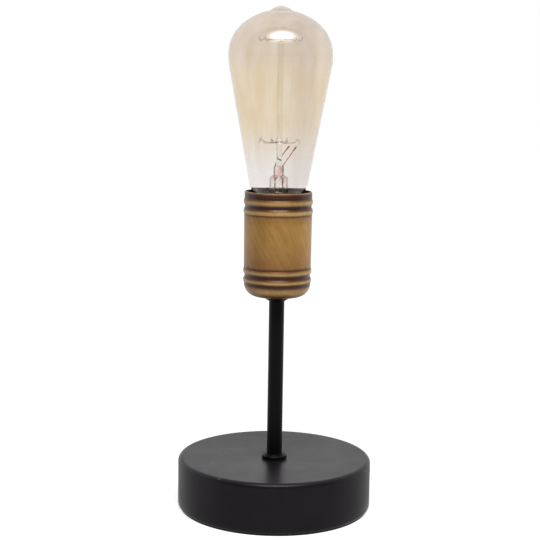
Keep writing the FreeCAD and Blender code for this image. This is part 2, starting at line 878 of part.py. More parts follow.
def make_leads():
    """Live and neutral leads up the tube to the lampholder, and the short earth lead."""
    front = dim.block_front.value
    height = dim.pole_height.value
    live_x, neutral_x, earth_x = pole_places()
    live_top_x = -(dim.live_terminal_outer.value + dim.live_terminal_inner.value) / 2
    neutral_top_x = (dim.neutral_terminal_outer.value + dim.neutral_terminal_inner.value) / 2
    bore_mouth = dim.carrier_bottom.value - dim.terminal_height.value
    out_y = front - dim.lead_run_out.value
    in_tube = dim.lead_in_tube_x.value
    inserted = dim.conductor_length.value
    bare = dim.bare_end.value

    def up_the_tube(label, block_x, dip, tube_x, top_x):
        points = [(block_x, front, height), (block_x, out_y, height), dip,
                  (tube_x, 0, dim.lead_dip_height.value), (tube_x, 0, dim.lead_turn_height.value),
                  (top_x, 0, dim.lead_spread_height.value), (top_x, 0, bore_mouth)]
        return lead_with_bare_ends(label, points, [6, 5, 3, 3, 2.4], inserted, bare)

    live = up_the_tube("live_lead", live_x, LIVE_DIP, -in_tube, live_top_x)
    neutral = up_the_tube("neutral_lead", neutral_x, NEUTRAL_DIP, in_tube, neutral_top_x)
    lug_axis = weight_bottom().value - dim.lug_barrel_radius.value
    crimp_end = lug_crimp().value - dim.lug_barrel_length.value + dim.lug_overlap.value
    earth = lead_with_bare_ends("earth_lead", [
        (earth_x, front, height), (earth_x, out_y, height), *EARTH_RISE,
        (crimp_end, dim.lug_y.value, lug_axis)], [6, 4, 3], inserted, bare)
    return [live, neutral, earth]


def lug_crimp():
    """X where the lug's barrel ends and its tongue begins."""
    return dim.lug_x - dim.lug_ring_radius - dim.lug_neck


def make_earth_lug(lead, screw):
    """Crimped ring lug: a flat ring under the screw and a barrel round the earth lead."""
    top = weight_bottom().value
    x = dim.lug_x.value
    y = dim.lug_y.value
    thickness = dim.lug_thickness.value
    radius = dim.lug_barrel_radius.value
    width = dim.lug_tongue_width.value
    crimp = lug_crimp().value
    tongue_start = crimp - dim.lug_overlap.value
    ring = rod((x, y, top - thickness), (x, y, top), dim.lug_ring_radius)
    tongue = Part.makeBox(x - tongue_start, width, thickness,
                          FreeCAD.Vector(tongue_start, y - width / 2, top - thickness))
    barrel = rod((crimp - dim.lug_barrel_length.value, y, top - radius), (crimp, y, top - radius), radius)
    blank = fixed_shape("lug_blank", ring.fuse([tongue, barrel]).removeSplitter())
    return cut_by("earth_lug", blank, lead, screw)


def make_wiring():
    block, barrels, pole_screws = make_terminal_block()
    leads = make_leads()
    lug = make_earth_lug(leads[2], doc.getObject("earth_screw"))
    return [block, barrels, pole_screws, lug] + leads


# ---------------------------------------------------------------- stem

def make_stem():
    """The tube with its collars, and the washer and nut that pull it down on the base."""
    bore = dim.tube_radius
    tube = turned_body("stem_tube", [
        (dim.tube_bore_radius, dim.tube_bottom), (bore, dim.tube_bottom), (bore, dim.tube_top),
        (dim.tube_bore_radius, dim.tube_top)])
    floor = seat_height()
    wide = dim.foot_collar_radius
    bevel = dim.foot_collar_bevel
    flange_top = floor + dim.foot_collar_flange
    boss = dim.foot_collar_boss_radius
    top = floor + dim.foot_collar_height
    foot = turned_body("foot_collar", [
        (bore, floor), (wide - bevel, floor), (wide, floor + bevel), (wide, flange_top - bevel),
        (wide - bevel, flange_top), (boss + bevel, flange_top), (boss, flange_top + bevel, -bevel),
        (boss, top - bevel), (boss - bevel, top, bevel), (bore, top)])
    under = dim.cover_bottom
    low = under - dim.head_collar_height
    head = turned_body("head_collar", [
        (bore, low), (dim.head_collar_neck_radius, low),
        (dim.head_collar_radius, under - dim.head_collar_rim), (dim.head_collar_radius, under),
        (bore, under)])
    washer_low = weight_bottom() - dim.clamp_washer_thickness
    washer = turned_body("clamp_washer", [
        (bore + dim.washer_play, washer_low), (dim.clamp_washer_radius, washer_low),
        (dim.clamp_washer_radius, weight_bottom()), (bore + dim.washer_play, weight_bottom())])
    nut = hex_nut("base_nut", washer_low - dim.base_nut_height, dim.base_nut_height)
    return [tube, foot, head, washer, nut]


# ---------------------------------------------------------------- socket cover

def cover_rim():
    return dim.cover_bottom + dim.cover_height


def bead(low, before, after):
    """Outline steps of one round bead that stands on the wall, from its lower edge up."""
    return [(before, low), (after, low + dim.bead_width, dim.bead_radius)]


def make_cover():
    """Turned brass cup: rounded foot, plain body between two pairs of beads, thin open rim."""
    low = dim.cover_bottom
    corner = dim.cover_corner_radius
    foot = dim.cover_foot_radius
    inner = dim.cover_inner_radius
    floor = low + dim.cover_floor
    rim = cover_rim()
    edge = dim.cover_rim_rounding
    one = low + dim.bead_one_low
    two = low + dim.bead_two_low
    three = low + dim.bead_three_low
    four = low + dim.bead_four_low
    neck = dim.bead_gap_radius
    body_low = dim.cover_body_low_radius
    body_high = dim.cover_body_high_radius
    inner_corner = corner - dim.cover_floor
    outline = [(dim.cover_hole_radius, low), (foot - corner, low), (foot, low + corner, corner)]
    outline += bead(one, foot, foot)
    outline += [(foot, two, -neck)]
    outline += bead(two, foot, body_low)[1:]
    outline += bead(three, body_high, dim.cover_rim_radius)
    outline += [(dim.cover_rim_radius, four, -neck)]
    outline += bead(four, dim.cover_rim_radius, dim.cover_rim_radius)[1:]
    outline += [
        (dim.cover_rim_radius, rim - edge), (dim.cover_rim_radius - edge, rim, edge),
        (inner, rim), (inner, floor + inner_corner), (inner - inner_corner, floor, -inner_corner),
        (dim.cover_hole_radius, floor)]
    cover = turned_body("socket_cover", outline)
    bore = dim.tube_radius + dim.washer_play
    washer_top = floor + dim.cover_washer_thickness
    washer = turned_body("cover_washer", [
        (bore, floor), (dim.cover_washer_radius, floor), (dim.cover_washer_radius, washer_top),
        (bore, washer_top)])
    nut = hex_nut("cover_nut", washer_top, dim.cover_nut_height)
    return [cover, washer, nut]


# ---------------------------------------------------------------- lampholder

def make_holder_cap():
    """Moulded lower half of the lampholder, screwed on the tube and locked by a grub screw."""
    outer = dim.holder_radius
    wall = dim.holder_cap_wall
    split = dim.holder_split
    spigot = dim.holder_spigot_radius
    ledge = dim.carrier_bottom
    low = dim.holder_bottom
    boss = dim.holder_boss_radius
    stop = dim.tube_top
    roof = stop + dim.holder_stop_height
    dome_end = dim.holder_dome_end
    inner_dome = dim.holder_dome_start + dim.holder_inner_dome
    ledge_inner = spigot - dim.holder_ledge_width
    cap = turned_body("holder_cap_moulding", [
        (dim.tube_radius, low), (boss, low), (boss, dim.holder_dome_start),
        (outer, dome_end, dim.holder_dome_bend), (outer, split), (spigot, split),
        (spigot, ledge), (ledge_inner, ledge), (ledge_inner, dome_end),
        (boss + wall, inner_dome, -dim.holder_dome_bend), (boss - wall, inner_dome),
        (boss - wall, roof), (dim.lead_hole_radius, roof), (dim.lead_hole_radius, stop),
        (dim.tube_radius, stop)])
    height = dim.grub_screw_height.value
    start = -(dim.holder_boss_radius + dim.grub_screw_stand).value
    screw = rod((0, start, height), (0, -dim.tube_radius.value, height), dim.grub_screw_radius)
    width = dim.grub_slot_width.value
    reach = dim.grub_screw_radius.value + CLEAR
    slot = Part.makeBox(width, width, 2 * reach, FreeCAD.Vector(-width / 2, start, height - reach))
    grub = fixed_shape("grub_screw", screw.cut(slot))
    seat = fixed_shape("grub_seat", screw)
    return [cut_by("holder_cap", cap, seat), grub]


def make_holder_body():
    """Moulded upper half: a plain sleeve round the screw shell with a wider mouth."""
    outer = dim.holder_radius
    split = dim.holder_split
    low = dim.carrier_bottom
    top = dim.holder_top
    bore = dim.holder_bore_radius
    mouth = dim.holder_mouth_radius
    edge = dim.holder_edge
    return turned_body("holder_body", [
        (dim.carrier_radius, low), (dim.holder_spigot_radius, low), (dim.holder_spigot_radius, split),
        (outer, split), (outer, top - edge), (outer - edge, top, edge), (mouth, top),
        (bore, top - dim.holder_mouth_depth), (bore, dim.carrier_top),
        (dim.carrier_radius, dim.carrier_top)])


def rivet_places():
    """The centre contact's rivet on the left and the screw shell's on the right."""
    return [(-dim.centre_rivet_x.value, dim.contact_sheet.value),
            (dim.shell_rivet_x.value, dim.shell_sheet.value)]


def make_contact_rivets():
    head = dim.rivet_head_height.value
    under = dim.carrier_bottom.value - dim.terminal_tab.value
    rivets = []
    for x, sheet in rivet_places():
        top = dim.carrier_top.value + sheet
        shank = rod((x, 0, under), (x, 0, top), dim.rivet_radius)
        upper = rod((x, 0, top), (x, 0, top + head), dim.rivet_head_radius)
        lower = rod((x, 0, under - head), (x, 0, under), dim.rivet_head_radius)
        rivets.append(shank.fuse([upper, lower]).removeSplitter())
    return fixed_shape("contact_rivets", Part.makeCompound(rivets))


def make_terminals():
    """Two pillar terminals under the carrier, each a brass block with a tab for its rivet."""
    top = dim.carrier_bottom
    low = top - dim.terminal_height
    tab_low = top - dim.terminal_tab
    half = dim.terminal_width / 2
    live = new_body("live_pillar")
    add_pad(live, "block", rectangle(-dim.live_terminal_outer, -dim.live_terminal_inner, -half, half),
            low, dim.terminal_height)
    live_tab = rectangle(-dim.live_terminal_inner - CLEAR, -dim.centre_rivet_x + dim.rivet_head_radius,
                         -half, half)
    add_pad(live, "tab", live_tab, tab_low, dim.terminal_tab)
    neutral = new_body("neutral_pillar")
    add_pad(neutral, "block",
            rectangle(dim.neutral_terminal_inner, dim.neutral_terminal_outer, -half, half),
            low, dim.terminal_height)
    neutral_tab = rectangle(dim.neutral_terminal_outer - CLEAR, dim.shell_rivet_x + dim.rivet_head_radius,
                            -half, half)
    add_pad(neutral, "tab", neutral_tab, tab_low, dim.terminal_tab)
    bore = dim.conductor_radius + dim.lead_play
    screws = []
    holes = []
    height = dim.terminal_screw_height.value
    width = dim.terminal_slot_width.value
    reach = dim.terminal_screw_radius.value + CLEAR
    for inner, outer, side in ((dim.live_terminal_inner, dim.live_terminal_outer, -1),
                               (dim.neutral_terminal_inner, dim.neutral_terminal_outer, 1)):
        centre = side * (inner + outer).value / 2
        holes.append(rod((centre, 0, low.value), (centre, 0, height + reach), bore))
        face = side * outer.value
        tip = face - side * dim.terminal_screw_length.value
        screw = rod((face, 0, height), (tip, 0, height), dim.terminal_screw_radius)
        holes.append(screw)
        slot = Part.makeBox(width, 2 * reach, width,
                            FreeCAD.Vector(face - width / 2, -reach, height - width / 2))
        screws.append(screw.cut(slot))
    terminal_screws = fixed_shape("terminal_screws", Part.makeCompound(screws))
    bores = fixed_shape("terminal_bores", Part.makeCompound(holes))
    rivets = doc.getObject("contact_rivets")
    return [cut_by("live_terminal", live, bores, rivets),
            cut_by("neutral_terminal", neutral, bores, rivets), terminal_screws]


def make_centre_contact():
    """Sprung brass leaf: riveted flat at one end, rising to the bulb's contact at the other."""
    base = dim.carrier_top
    sheet = dim.contact_sheet
    lift = dim.contact_bottom - dim.contact_leaf_gap - sheet
    body = new_body("contact_leaf")
    half = dim.contact_width / 2
    start = dim.contact_leaf_start
    bend = dim.contact_leaf_bend
    rise = dim.contact_leaf_rise
    end = dim.contact_leaf_end
    lean = sheet / 2
    leaf = [(start, base), (bend, base), (rise, lift), (end, lift), (end, lift + sheet),
            (rise - lean, lift + sheet), (bend - lean, base + sheet), (start, base + sheet)]
    add_pad(body, "leaf", lambda sketch: draw_outline(sketch, leaf), -half, dim.contact_width,
            role="XZ_Plane")
    return cut_by("centre_contact", body, doc.getObject("contact_rivets"))


def make_screw_shell():
    """Rolled brass shell: flat floor on the carrier, plain lower wall, screw thread above."""
    sheet = dim.shell_sheet
    plain = dim.shell_plain_radius
    base = dim.carrier_top
    start = dim.shell_thread_start
    inside = dim.cap_thread_radius + dim.thread_clearance
    ring_outer = inside + sheet + dim.thread_throw + dim.thread_ring_margin
    ring_inner = inside - dim.thread_throw - dim.thread_ring_margin
    cup = turned_body("shell_cup", [
        (dim.shell_floor_hole, base), (plain + sheet, base), (plain + sheet, start - sheet),
        (ring_outer, start - sheet), (ring_outer, start), (ring_inner, start),
        (ring_inner, start - sheet), (plain, start - sheet), (plain, base + sheet),
        (dim.shell_floor_hole, base + sheet)])
    root = (start - sheet / 2).value
    end = dim.shell_thread_end.value
    outer = climbing_disc((inside + sheet).value, root, end)
    inner = climbing_disc(inside.value, root - CLEAR, end + CLEAR)
    whole = fused("shell_blank", cup, fixed_shape("shell_thread", outer.cut(inner).Solids[0]))
    return cut_by("screw_shell", whole, doc.getObject("contact_rivets"))


def make_lampholder():
    rivets = make_contact_rivets()
    disc = turned_body("carrier_disc", [
        (0, dim.carrier_bottom), (dim.carrier_radius, dim.carrier_bottom),
        (dim.carrier_radius, dim.carrier_top), (0, dim.carrier_top)])
    carrier = cut_by("contact_carrier", disc, rivets)
    return (make_holder_cap() + [make_holder_body(), rivets, carrier, make_centre_contact(),
                                 make_screw_shell()] + make_terminals())


# ---------------------------------------------------------------- bulb, outside

def make_bulb_contact():
    low = dim.contact_bottom
    radius = dim.contact_radius
    return turned_body("bulb_contact", [
        (0, low), (radius - dim.contact_dome_reach, low),
        (radius, low + dim.contact_dome_rise, dim.contact_dome_curve),
        (radius, low + dim.contact_thickness), (0, low + dim.contact_thickness)])


def make_cap_insulator():
    """Black glass cone between the centre contact and the screw cap."""
    seat = dim.contact_bottom + dim.contact_thickness
    hole = dim.conductor_radius
    radius = dim.insulator_radius
    return turned_body("cap_insulator", [
        (hole, seat), (dim.contact_radius, seat), (dim.contact_radius, dim.insulator_bottom),
        (dim.contact_radius + dim.insulator_ledge, dim.insulator_bottom),
        (radius, dim.insulator_top - dim.insulator_seat, -dim.insulator_curve),
        (radius, dim.insulator_top + dim.insulator_seat), (hole, seat + dim.insulator_wall)])


def make_bulb_cap():
    """Rolled metal cap: necked-in foot, screw thread, and a skirt that flares under the glass."""
    sheet = dim.cap_sheet
    start = dim.cap_thread_start
    end = dim.cap_thread_end
    mean = dim.cap_thread_radius
    inside = mean - sheet - dim.thread_throw - dim.thread_ring_margin
    outside = mean + dim.thread_throw + dim.thread_ring_margin
    skirt = dim.cap_skirt_radius
    low = dim.insulator_top
    foot_inner = dim.insulator_radius
    foot_outer = foot_inner + dim.cap_foot_width
    floor = start - sheet
    foot = turned_body("cap_foot", [
        (foot_inner, low), (foot_outer - sheet, low), (foot_outer, low + sheet, sheet),
        (foot_outer, floor + sheet / 2), (foot_inner, floor + sheet / 2)])
    flare = dim.cap_flare_radius
    top = dim.cap_top
    flare_start = top - dim.cap_flare_height
    ring_top = end + sheet
    upper = turned_body("cap_skirt", [
        (inside, end), (outside, end), (skirt, ring_top),
        (skirt, flare_start), (flare, top), (flare - sheet, top), (skirt - sheet, flare_start),
        (skirt - sheet, ring_top), (inside, ring_top)])
    thread_top = end + sheet / 2
    outer = climbing_disc(mean.value, floor.value, thread_top.value)
    inner = climbing_disc((mean - sheet).value, start.value, (thread_top + CLEAR).value)
    hole = Part.makeCylinder((foot_inner + sheet / 2).value, (end - low).value, UP * low.value)
    middle = fixed_shape("cap_thread", outer.cut(inner).cut(hole).Solids[0])
    return fused("bulb_cap", fused("cap_lower", foot, middle), upper)


def glass_stations():
    """Stations down the outside of the glass: radius, height, normal's angle and arc to get there."""
    cone = math.degrees(math.atan2((dim.cone_high_radius - dim.cone_low_radius).value,
                                   (dim.cone_high - dim.cone_low).value))
    pip_rise = dim.pip_side - dim.bulb_tip + dim.pip_curve
    pip_side_radius = (dim.pip_curve * dim.pip_curve - pip_rise * pip_rise).root()
    pip = math.degrees(math.asin(pip_rise.value / dim.pip_curve.value))
    foot = math.degrees(math.acos(dim.pip_foot_radius.value / dim.dome_top_curve.value))
    joint = math.degrees(math.acos(dim.dome_joint_radius.value / dim.dome_top_curve.value))
    return [
        (pip_side_radius, dim.pip_side, pip, dim.pip_curve, 1),
        (dim.pip_foot_radius, dim.pip_foot, foot, dim.pip_foot_curve, -1),
        (dim.dome_joint_radius, dim.dome_joint, joint, dim.dome_top_curve, 1),
        (dim.widest_radius, dim.widest, 0, dim.dome_side_curve, 1),
        (dim.cone_high_radius, dim.cone_high, -cone, dim.widest_curve, 1),
        (dim.cone_low_radius, dim.cone_low, -cone, None, 0),
        (dim.shoulder_low_radius, dim.shoulder_low, -45, dim.shoulder_curve, 1),
        (dim.neck_radius + dim.neck_curve * (1 - math.sqrt(0.5)),
         dim.neck_top + dim.neck_curve * math.sqrt(0.5), -45, None, 0),
        (dim.neck_radius, dim.neck_top, 0, dim.neck_curve, -1),
        (dim.neck_radius, dim.glass_bottom, 0, None, 0),
    ]


def make_glass_envelope():
    """Blown pear-shaped glass of even wall, with the sealed pip on its crown."""
    wall = dim.glass_wall
    outer = [(0, dim.bulb_tip)]
    inner = [(0, dim.bulb_tip - wall)]
    for radius, height, angle, bend, side in glass_stations():
        across = math.cos(math.radians(angle))
        up = math.sin(math.radians(angle))
        inner_point = (radius - wall * across, height - wall * up)
        if bend is None:
            outer.append((radius, height))
            inner.append(inner_point)
        else:
            outer.append((radius, height, -bend if side > 0 else bend))
            inner.append(inner_point + (-(bend - wall) if side > 0 else bend + wall,))
    inner[-1] = (inner[-1][0], dim.glass_bottom)
    back = [inner[-1][:2]]
    for station, before in zip(reversed(inner[1:]), reversed(inner[:-1])):
        back.append(before[:2] + ((-station[2],) if len(station) == 3 else ()))
    return turned_body("glass_envelope", outer + back)


def make_cap_cement():
    """The ring of cement that holds the glass neck in the cap's skirt."""
    inner = dim.neck_radius
    outer = dim.cap_skirt_radius - dim.cap_sheet
    return turned_body("cap_cement", [
        (inner, dim.glass_bottom), (outer, dim.glass_bottom),
        (outer, dim.cap_top - dim.cap_flare_height), (inner, dim.cap_top - dim.cap_flare_height)])


# ---------------------------------------------------------------- bulb, inside

def lead_in_routes(filament_ends):
    """From the contact and from the cap, up the flare, through the press to the filament."""
    drop = dim.lead_in_drop_x.value
    press = dim.lead_in_press_x.value
    weld = dim.lead_in_weld_height.value
    straight = dim.lead_in_weld_run.value
    low = dim.flare_tube_bottom.value
    mouth = dim.press_bottom.value
    exit_height = dim.press_top.value
    above = exit_height + dim.lead_in_above_press.value
    past = dim.lead_in_pass_y.value
    contact = (dim.contact_bottom + dim.contact_thickness).value
    centre = [(0, 0, contact), (0, 0, dim.insulator_top.value + straight),
              (drop, 0, dim.cap_thread_end.value), (drop, 0, low), (press, 0, mouth),
              (press, 0, exit_height), filament_ends[0]]
    side = [(-dim.lead_in_weld_reach.value, 0, weld), (-drop - straight, 0, weld + straight),
            (-drop, 0, dim.cap_thread_end.value), (-drop, 0, low), (-press, past, mouth),
            (-press, past, above), filament_ends[1]]
    return (centre, [2, 4, 4, 4, 1.2]), (side, [2, 4, 4, 4, 1.2])


def cage_point(angle, height):
    turn = math.radians(angle)
    return (dim.cage_radius.value * math.cos(turn), -dim.cage_radius.value * math.sin(turn), height)


def turn_overshoot():
    """How far past a hook two strands would meet, if the bend round the hook were sharp."""
    gap = (dim.high_notch - dim.low_notch).value
    step = 2 * dim.cage_radius.value * math.sin(math.pi / (2 * HOOKS_PER_RING))
    bend = dim.filament_bend.value
    return bend * gap / (step - 2 * bend)


def make_filament():
    """One fine wire up and down between the two rings of hooks, open at the lead-in wires."""
    past = turn_overshoot()
    low = dim.low_notch.value - past
    high = dim.high_notch.value + past
    end = dim.lead_in_top.value
    step = 360.0 / HOOKS_PER_RING
    points = [cage_point(FILAMENT_ENDS[0], end)]
    for k in range(HOOKS_PER_RING):
        points.append(cage_point(step * k, high))
        if k < HOOKS_PER_RING - 1:
            points.append(cage_point(step * (k + 0.5), low))
    points.append(cage_point(FILAMENT_ENDS[1], end))
    bends = []
    for before, corner, after in zip(points, points[1:], points[2:]):
        down = FreeCAD.Vector(*before) - FreeCAD.Vector(*corner)
        back = FreeCAD.Vector(*after) - FreeCAD.Vector(*corner)
        bends.append(past * math.sin(down.getAngle(back) / 2))
    path = rounded_path(points, bends)
    return fixed_shape("filament", tube_along(path, dim.filament_radius.value)), points


def upper_hook(stray):
    """Radius and height of the corners of a hook whose notch is open above."""
    notch = dim.high_notch
    corners = [(dim.support_root, dim.high_button), (dim.knee_radius, notch + dim.high_knee_rise + stray),
               (dim.notch_radius, notch - dim.high_notch_depth),
               (dim.tip_radius, notch + dim.high_tip_rise)]
    return corners, [dim.knee_bend.value, dim.notch_bend.value]


def lower_hook(stray):
    """Radius and height of the corners of a hook whose notch is open below."""
    notch = dim.low_notch
    corners = [(dim.support_root, dim.low_button),
               (dim.support_sag_radius, dim.low_button - dim.support_sag),
               (dim.knee_radius, notch - dim.low_knee_drop + stray),
               (dim.notch_radius, notch + dim.low_notch_rise),
               (dim.tip_radius, notch - dim.low_tip_drop)]
    return corners, [dim.sag_bend.value, dim.knee_bend.value, dim.notch_bend.value]


def make_support_ring(label, shape_hook, offset, indices):
    """Fine wires from a glass button out to the filament's bends, each bent to a notch."""
    radius = dim.support_radius.value
    hooks = []
    for k in indices:
        corners, bends = shape_hook(KNEE_STRAY[k])
        angle = math.radians(360.0 / HOOKS_PER_RING * (k + offset))
        out = FreeCAD.Vector(math.cos(angle), -math.sin(angle), 0)
        points = [out * across.value + UP * up.value for across, up in corners]
        hooks.append(tube_along(rounded_path(points, bends), radius))
    return fixed_shape(label, Part.makeCompound(hooks))


def make_support_rod(supports):
    """Clear glass rod on the press, thickened to a button at each ring of hooks."""
    thin = dim.rod_radius
    half = dim.button_half_height
    low = dim.low_button
    high = dim.high_button
    bulge = dim.button_curve
    blank = turned_body("rod_blank", [
        (0, dim.press_top), (thin, dim.press_top), (thin, low - half), (thin, low + half, bulge),
        (thin, high - half), (0, high + half, dim.top_button_curve)])
    quarter_step = 360.0 / HOOKS_PER_RING / 4
    blank.Placement = FreeCAD.Placement(ORIGIN, FreeCAD.Rotation(UP, quarter_step))
    return cut_by("support_rod", blank, *supports)


def make_flare(lead_ins):
    """Flared glass tube sealed to the neck, closed above by the flat press round the wires."""
    tube = dim.flare_tube_radius
    wall = dim.flare_wall
    rim = dim.neck_radius - dim.glass_wall
    low = dim.glass_bottom
    bottom = dim.flare_tube_bottom
    top = dim.flare_tube_top
    curve = dim.flare_curve
    roof = dim.press_bottom + dim.flare_roof / 2
    ceiling_low = roof - dim.flare_roof
    shoulder = tube - dim.flare_top_width
    skirt = turned_body("flare_skirt", [
        (rim - wall, low), (rim, low), (tube, bottom, curve), (tube, top),
        (shoulder, roof, dim.flare_top_curve), (0, roof), (0, ceiling_low), (shoulder - wall, ceiling_low),
        (tube - wall, top - wall / 2, -dim.flare_inner_curve), (tube - wall, bottom),
        (rim - wall, low + dim.flare_lip, -curve)])
    press = doc.addObject("Part::Box", "press_block")
    width = dim.press_half_width * 2
    depth = dim.press_half_depth * 2
    press.setExpression("Length", width.formula)
    press.setExpression("Width", depth.formula)
    press.setExpression("Height", (dim.press_top - dim.press_bottom).formula)
    press.setExpression("Placement.Base.x", (-dim.press_half_width).formula)
    press.setExpression("Placement.Base.y", (-dim.press_half_depth).formula)
    press.setExpression("Placement.Base.z", dim.press_bottom.formula)
    doc.recompute()
    rounded = doc.addObject("Part::Fillet", "press_rounded")
    rounded.Base = press
    upright = [i + 1 for i, edge in enumerate(press.Shape.Edges)
               if abs(edge.tangentAt(edge.FirstParameter).z) > 0.9]
    rounding = dim.press_rounding.value
    rounded.Edges = [(i, rounding, rounding) for i in upright]
    return cut_by("stem_flare", fused("flare_blank", skirt, rounded), lead_ins)


def clamped(wire, route):
    """A lead-in wire with its end folded back thick, to clamp the filament."""
    before, end = FreeCAD.Vector(*route[-2]), FreeCAD.Vector(*route[-1])
    back = (before - end).normalize() * dim.clamp_length.value
    fold = rod(end + back, end, dim.clamp_radius)
    return wire.fuse(fold).removeSplitter()


def make_bulb_inside():
    filament, points = make_filament()
    radius = dim.lead_in_radius.value
    below = UP * (radius + dim.filament_radius.value)
    ends = [tuple(FreeCAD.Vector(*end) - below) for end in (points[0], points[-1])]
    wires = [clamped(tube_along(rounded_path(route, bends), radius), route)
             for route, bends in lead_in_routes(ends)]
    lead_ins = fixed_shape("lead_in_wires", Part.makeCompound(wires))
    high = make_support_ring("upper_hooks", upper_hook, 0, range(HOOKS_PER_RING))
    low = make_support_ring("lower_hooks", lower_hook, 0.5, range(HOOKS_PER_RING - 1))
    rod_piece = make_support_rod([high, low])
    return [filament, lead_ins, high, low, rod_piece, make_flare(lead_ins)]


def make_bulb():
    return [make_bulb_contact(), make_cap_insulator(), make_bulb_cap(), make_cap_cement(),
            make_glass_envelope()] + make_bulb_inside()


# ---------------------------------------------------------------- whole lamp

def check_document():
    """Stop if any object of the document failed to build."""
    doc.recompute()
    for item in doc.Objects:
        if "Invalid" in item.State or "Error" in item.State:
            raise RuntimeError(f"{item.Label} is {item.State}")


def write_part(piece):
    shape = piece.Shape
    if shape.isNull() or not shape.isValid() or not shape.Solids:
        raise RuntimeError(f"{piece.Label} has no sound solid")
    shape.exportStep(os.path.join("parts", f"{piece.Label}.step"))
    print(f"{piece.Label:18s} {len(shape.Solids):2d} solid(s) {shape.Volume:10.1f} mm3")


def main():
    pieces = make_base_pad() + make_base_shell() + make_weight_and_plate() + make_cable_bushing()
    pieces += make_wiring() + make_stem() + make_cover() + make_lampholder() + make_bulb()
    check_document()
    os.makedirs("parts", exist_ok=True)
    for piece in pieces:
        write_part(piece)
    print(f"{len(pieces)} pieces")


main()
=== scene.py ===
"""Looks of a bare bulb table lamp: weighted base, slim tube, antique brass cover, amber bulb."""

from __future__ import annotations

import logging
import math
from abc import ABC, abstractmethod
from dataclasses import dataclass
from enum import Enum, IntEnum
from typing import Any, Sequence

import bpy
from mathutils import Matrix, Vector


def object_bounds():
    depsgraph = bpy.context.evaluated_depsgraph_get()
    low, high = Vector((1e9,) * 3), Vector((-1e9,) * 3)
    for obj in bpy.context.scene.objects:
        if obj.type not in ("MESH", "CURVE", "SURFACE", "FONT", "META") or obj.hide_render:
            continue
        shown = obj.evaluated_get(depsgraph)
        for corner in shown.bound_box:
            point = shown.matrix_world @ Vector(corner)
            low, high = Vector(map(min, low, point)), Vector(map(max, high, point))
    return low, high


logging.basicConfig(level=logging.INFO, format="%(levelname)s %(message)s")
LOG = logging.getLogger("lamp")
MM = 0.001
Colour = tuple[float, float, float]
Triple = tuple[float, float, float]
WHITE: Colour = (1.0, 1.0, 1.0)
UNSTRETCHED: Triple = (1.0, 1.0, 1.0)
# Middle of a noise texture's values, and of a colour ramp.
MIDDLE = 0.5

# A screen's curve: straight up to the end of its toe, and a power above it.
SCREEN_STEPS = 255.0
TOE_END = 0.04045
TOE_SLOPE = 12.92
CURVE_SHIFT = 0.055
CURVE_POWER = 2.4

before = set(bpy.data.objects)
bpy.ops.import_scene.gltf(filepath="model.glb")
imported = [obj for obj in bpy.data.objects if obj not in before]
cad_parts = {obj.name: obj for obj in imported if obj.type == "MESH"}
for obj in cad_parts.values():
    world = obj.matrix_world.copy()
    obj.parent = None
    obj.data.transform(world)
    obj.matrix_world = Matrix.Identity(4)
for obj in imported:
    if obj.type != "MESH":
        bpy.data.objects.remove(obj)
CAD_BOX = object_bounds()


def from_screen(red: int, green: int, blue: int) -> Colour:
    """Turn a screen colour of 0 to 255 steps into Blender's linear colour.

    Args:
        red: Red step.
        green: Green step.
        blue: Blue step.

    Returns:
        The linear colour.
    """
    linear = []
    for step in (red, green, blue):
        share = step / SCREEN_STEPS
        if share <= TOE_END:
            linear.append(share / TOE_SLOPE)
        else:
            linear.append(((share + CURVE_SHIFT) / (1.0 + CURVE_SHIFT)) ** CURVE_POWER)
    return (linear[0], linear[1], linear[2])


# ---------------------------------------------------------------- node trees


@dataclass(frozen=True)
class Span:
    """A range of values and the results that it is stretched on to.

    Attributes:
        low: Value that gives start.
        high: Value that gives end.
        start: Result at low.
        end: Result at high.
        smooth: True eases the two ends, False keeps the change even.
    """

    low: float
    high: float
    start: float = 0.0
    end: float = 1.0
    smooth: bool = True

    def around(self, middle: float) -> Span:
        """Give the same range with its results moved up by a middle value."""
        return Span(self.low, self.high, middle + self.start, middle + self.end, self.smooth)

    def times(self, strength: float) -> Span:
        """Give the same range with its results multiplied by a strength."""
        return Span(self.low, self.high, strength * self.start, strength * self.end, self.smooth)


class MixSocket(IntEnum):
    """Places of the colour sockets on a Mix node, whose names its other sockets share."""

    SHARE = 0
    FIRST = 6
    SECOND = 7
    RESULT = 2


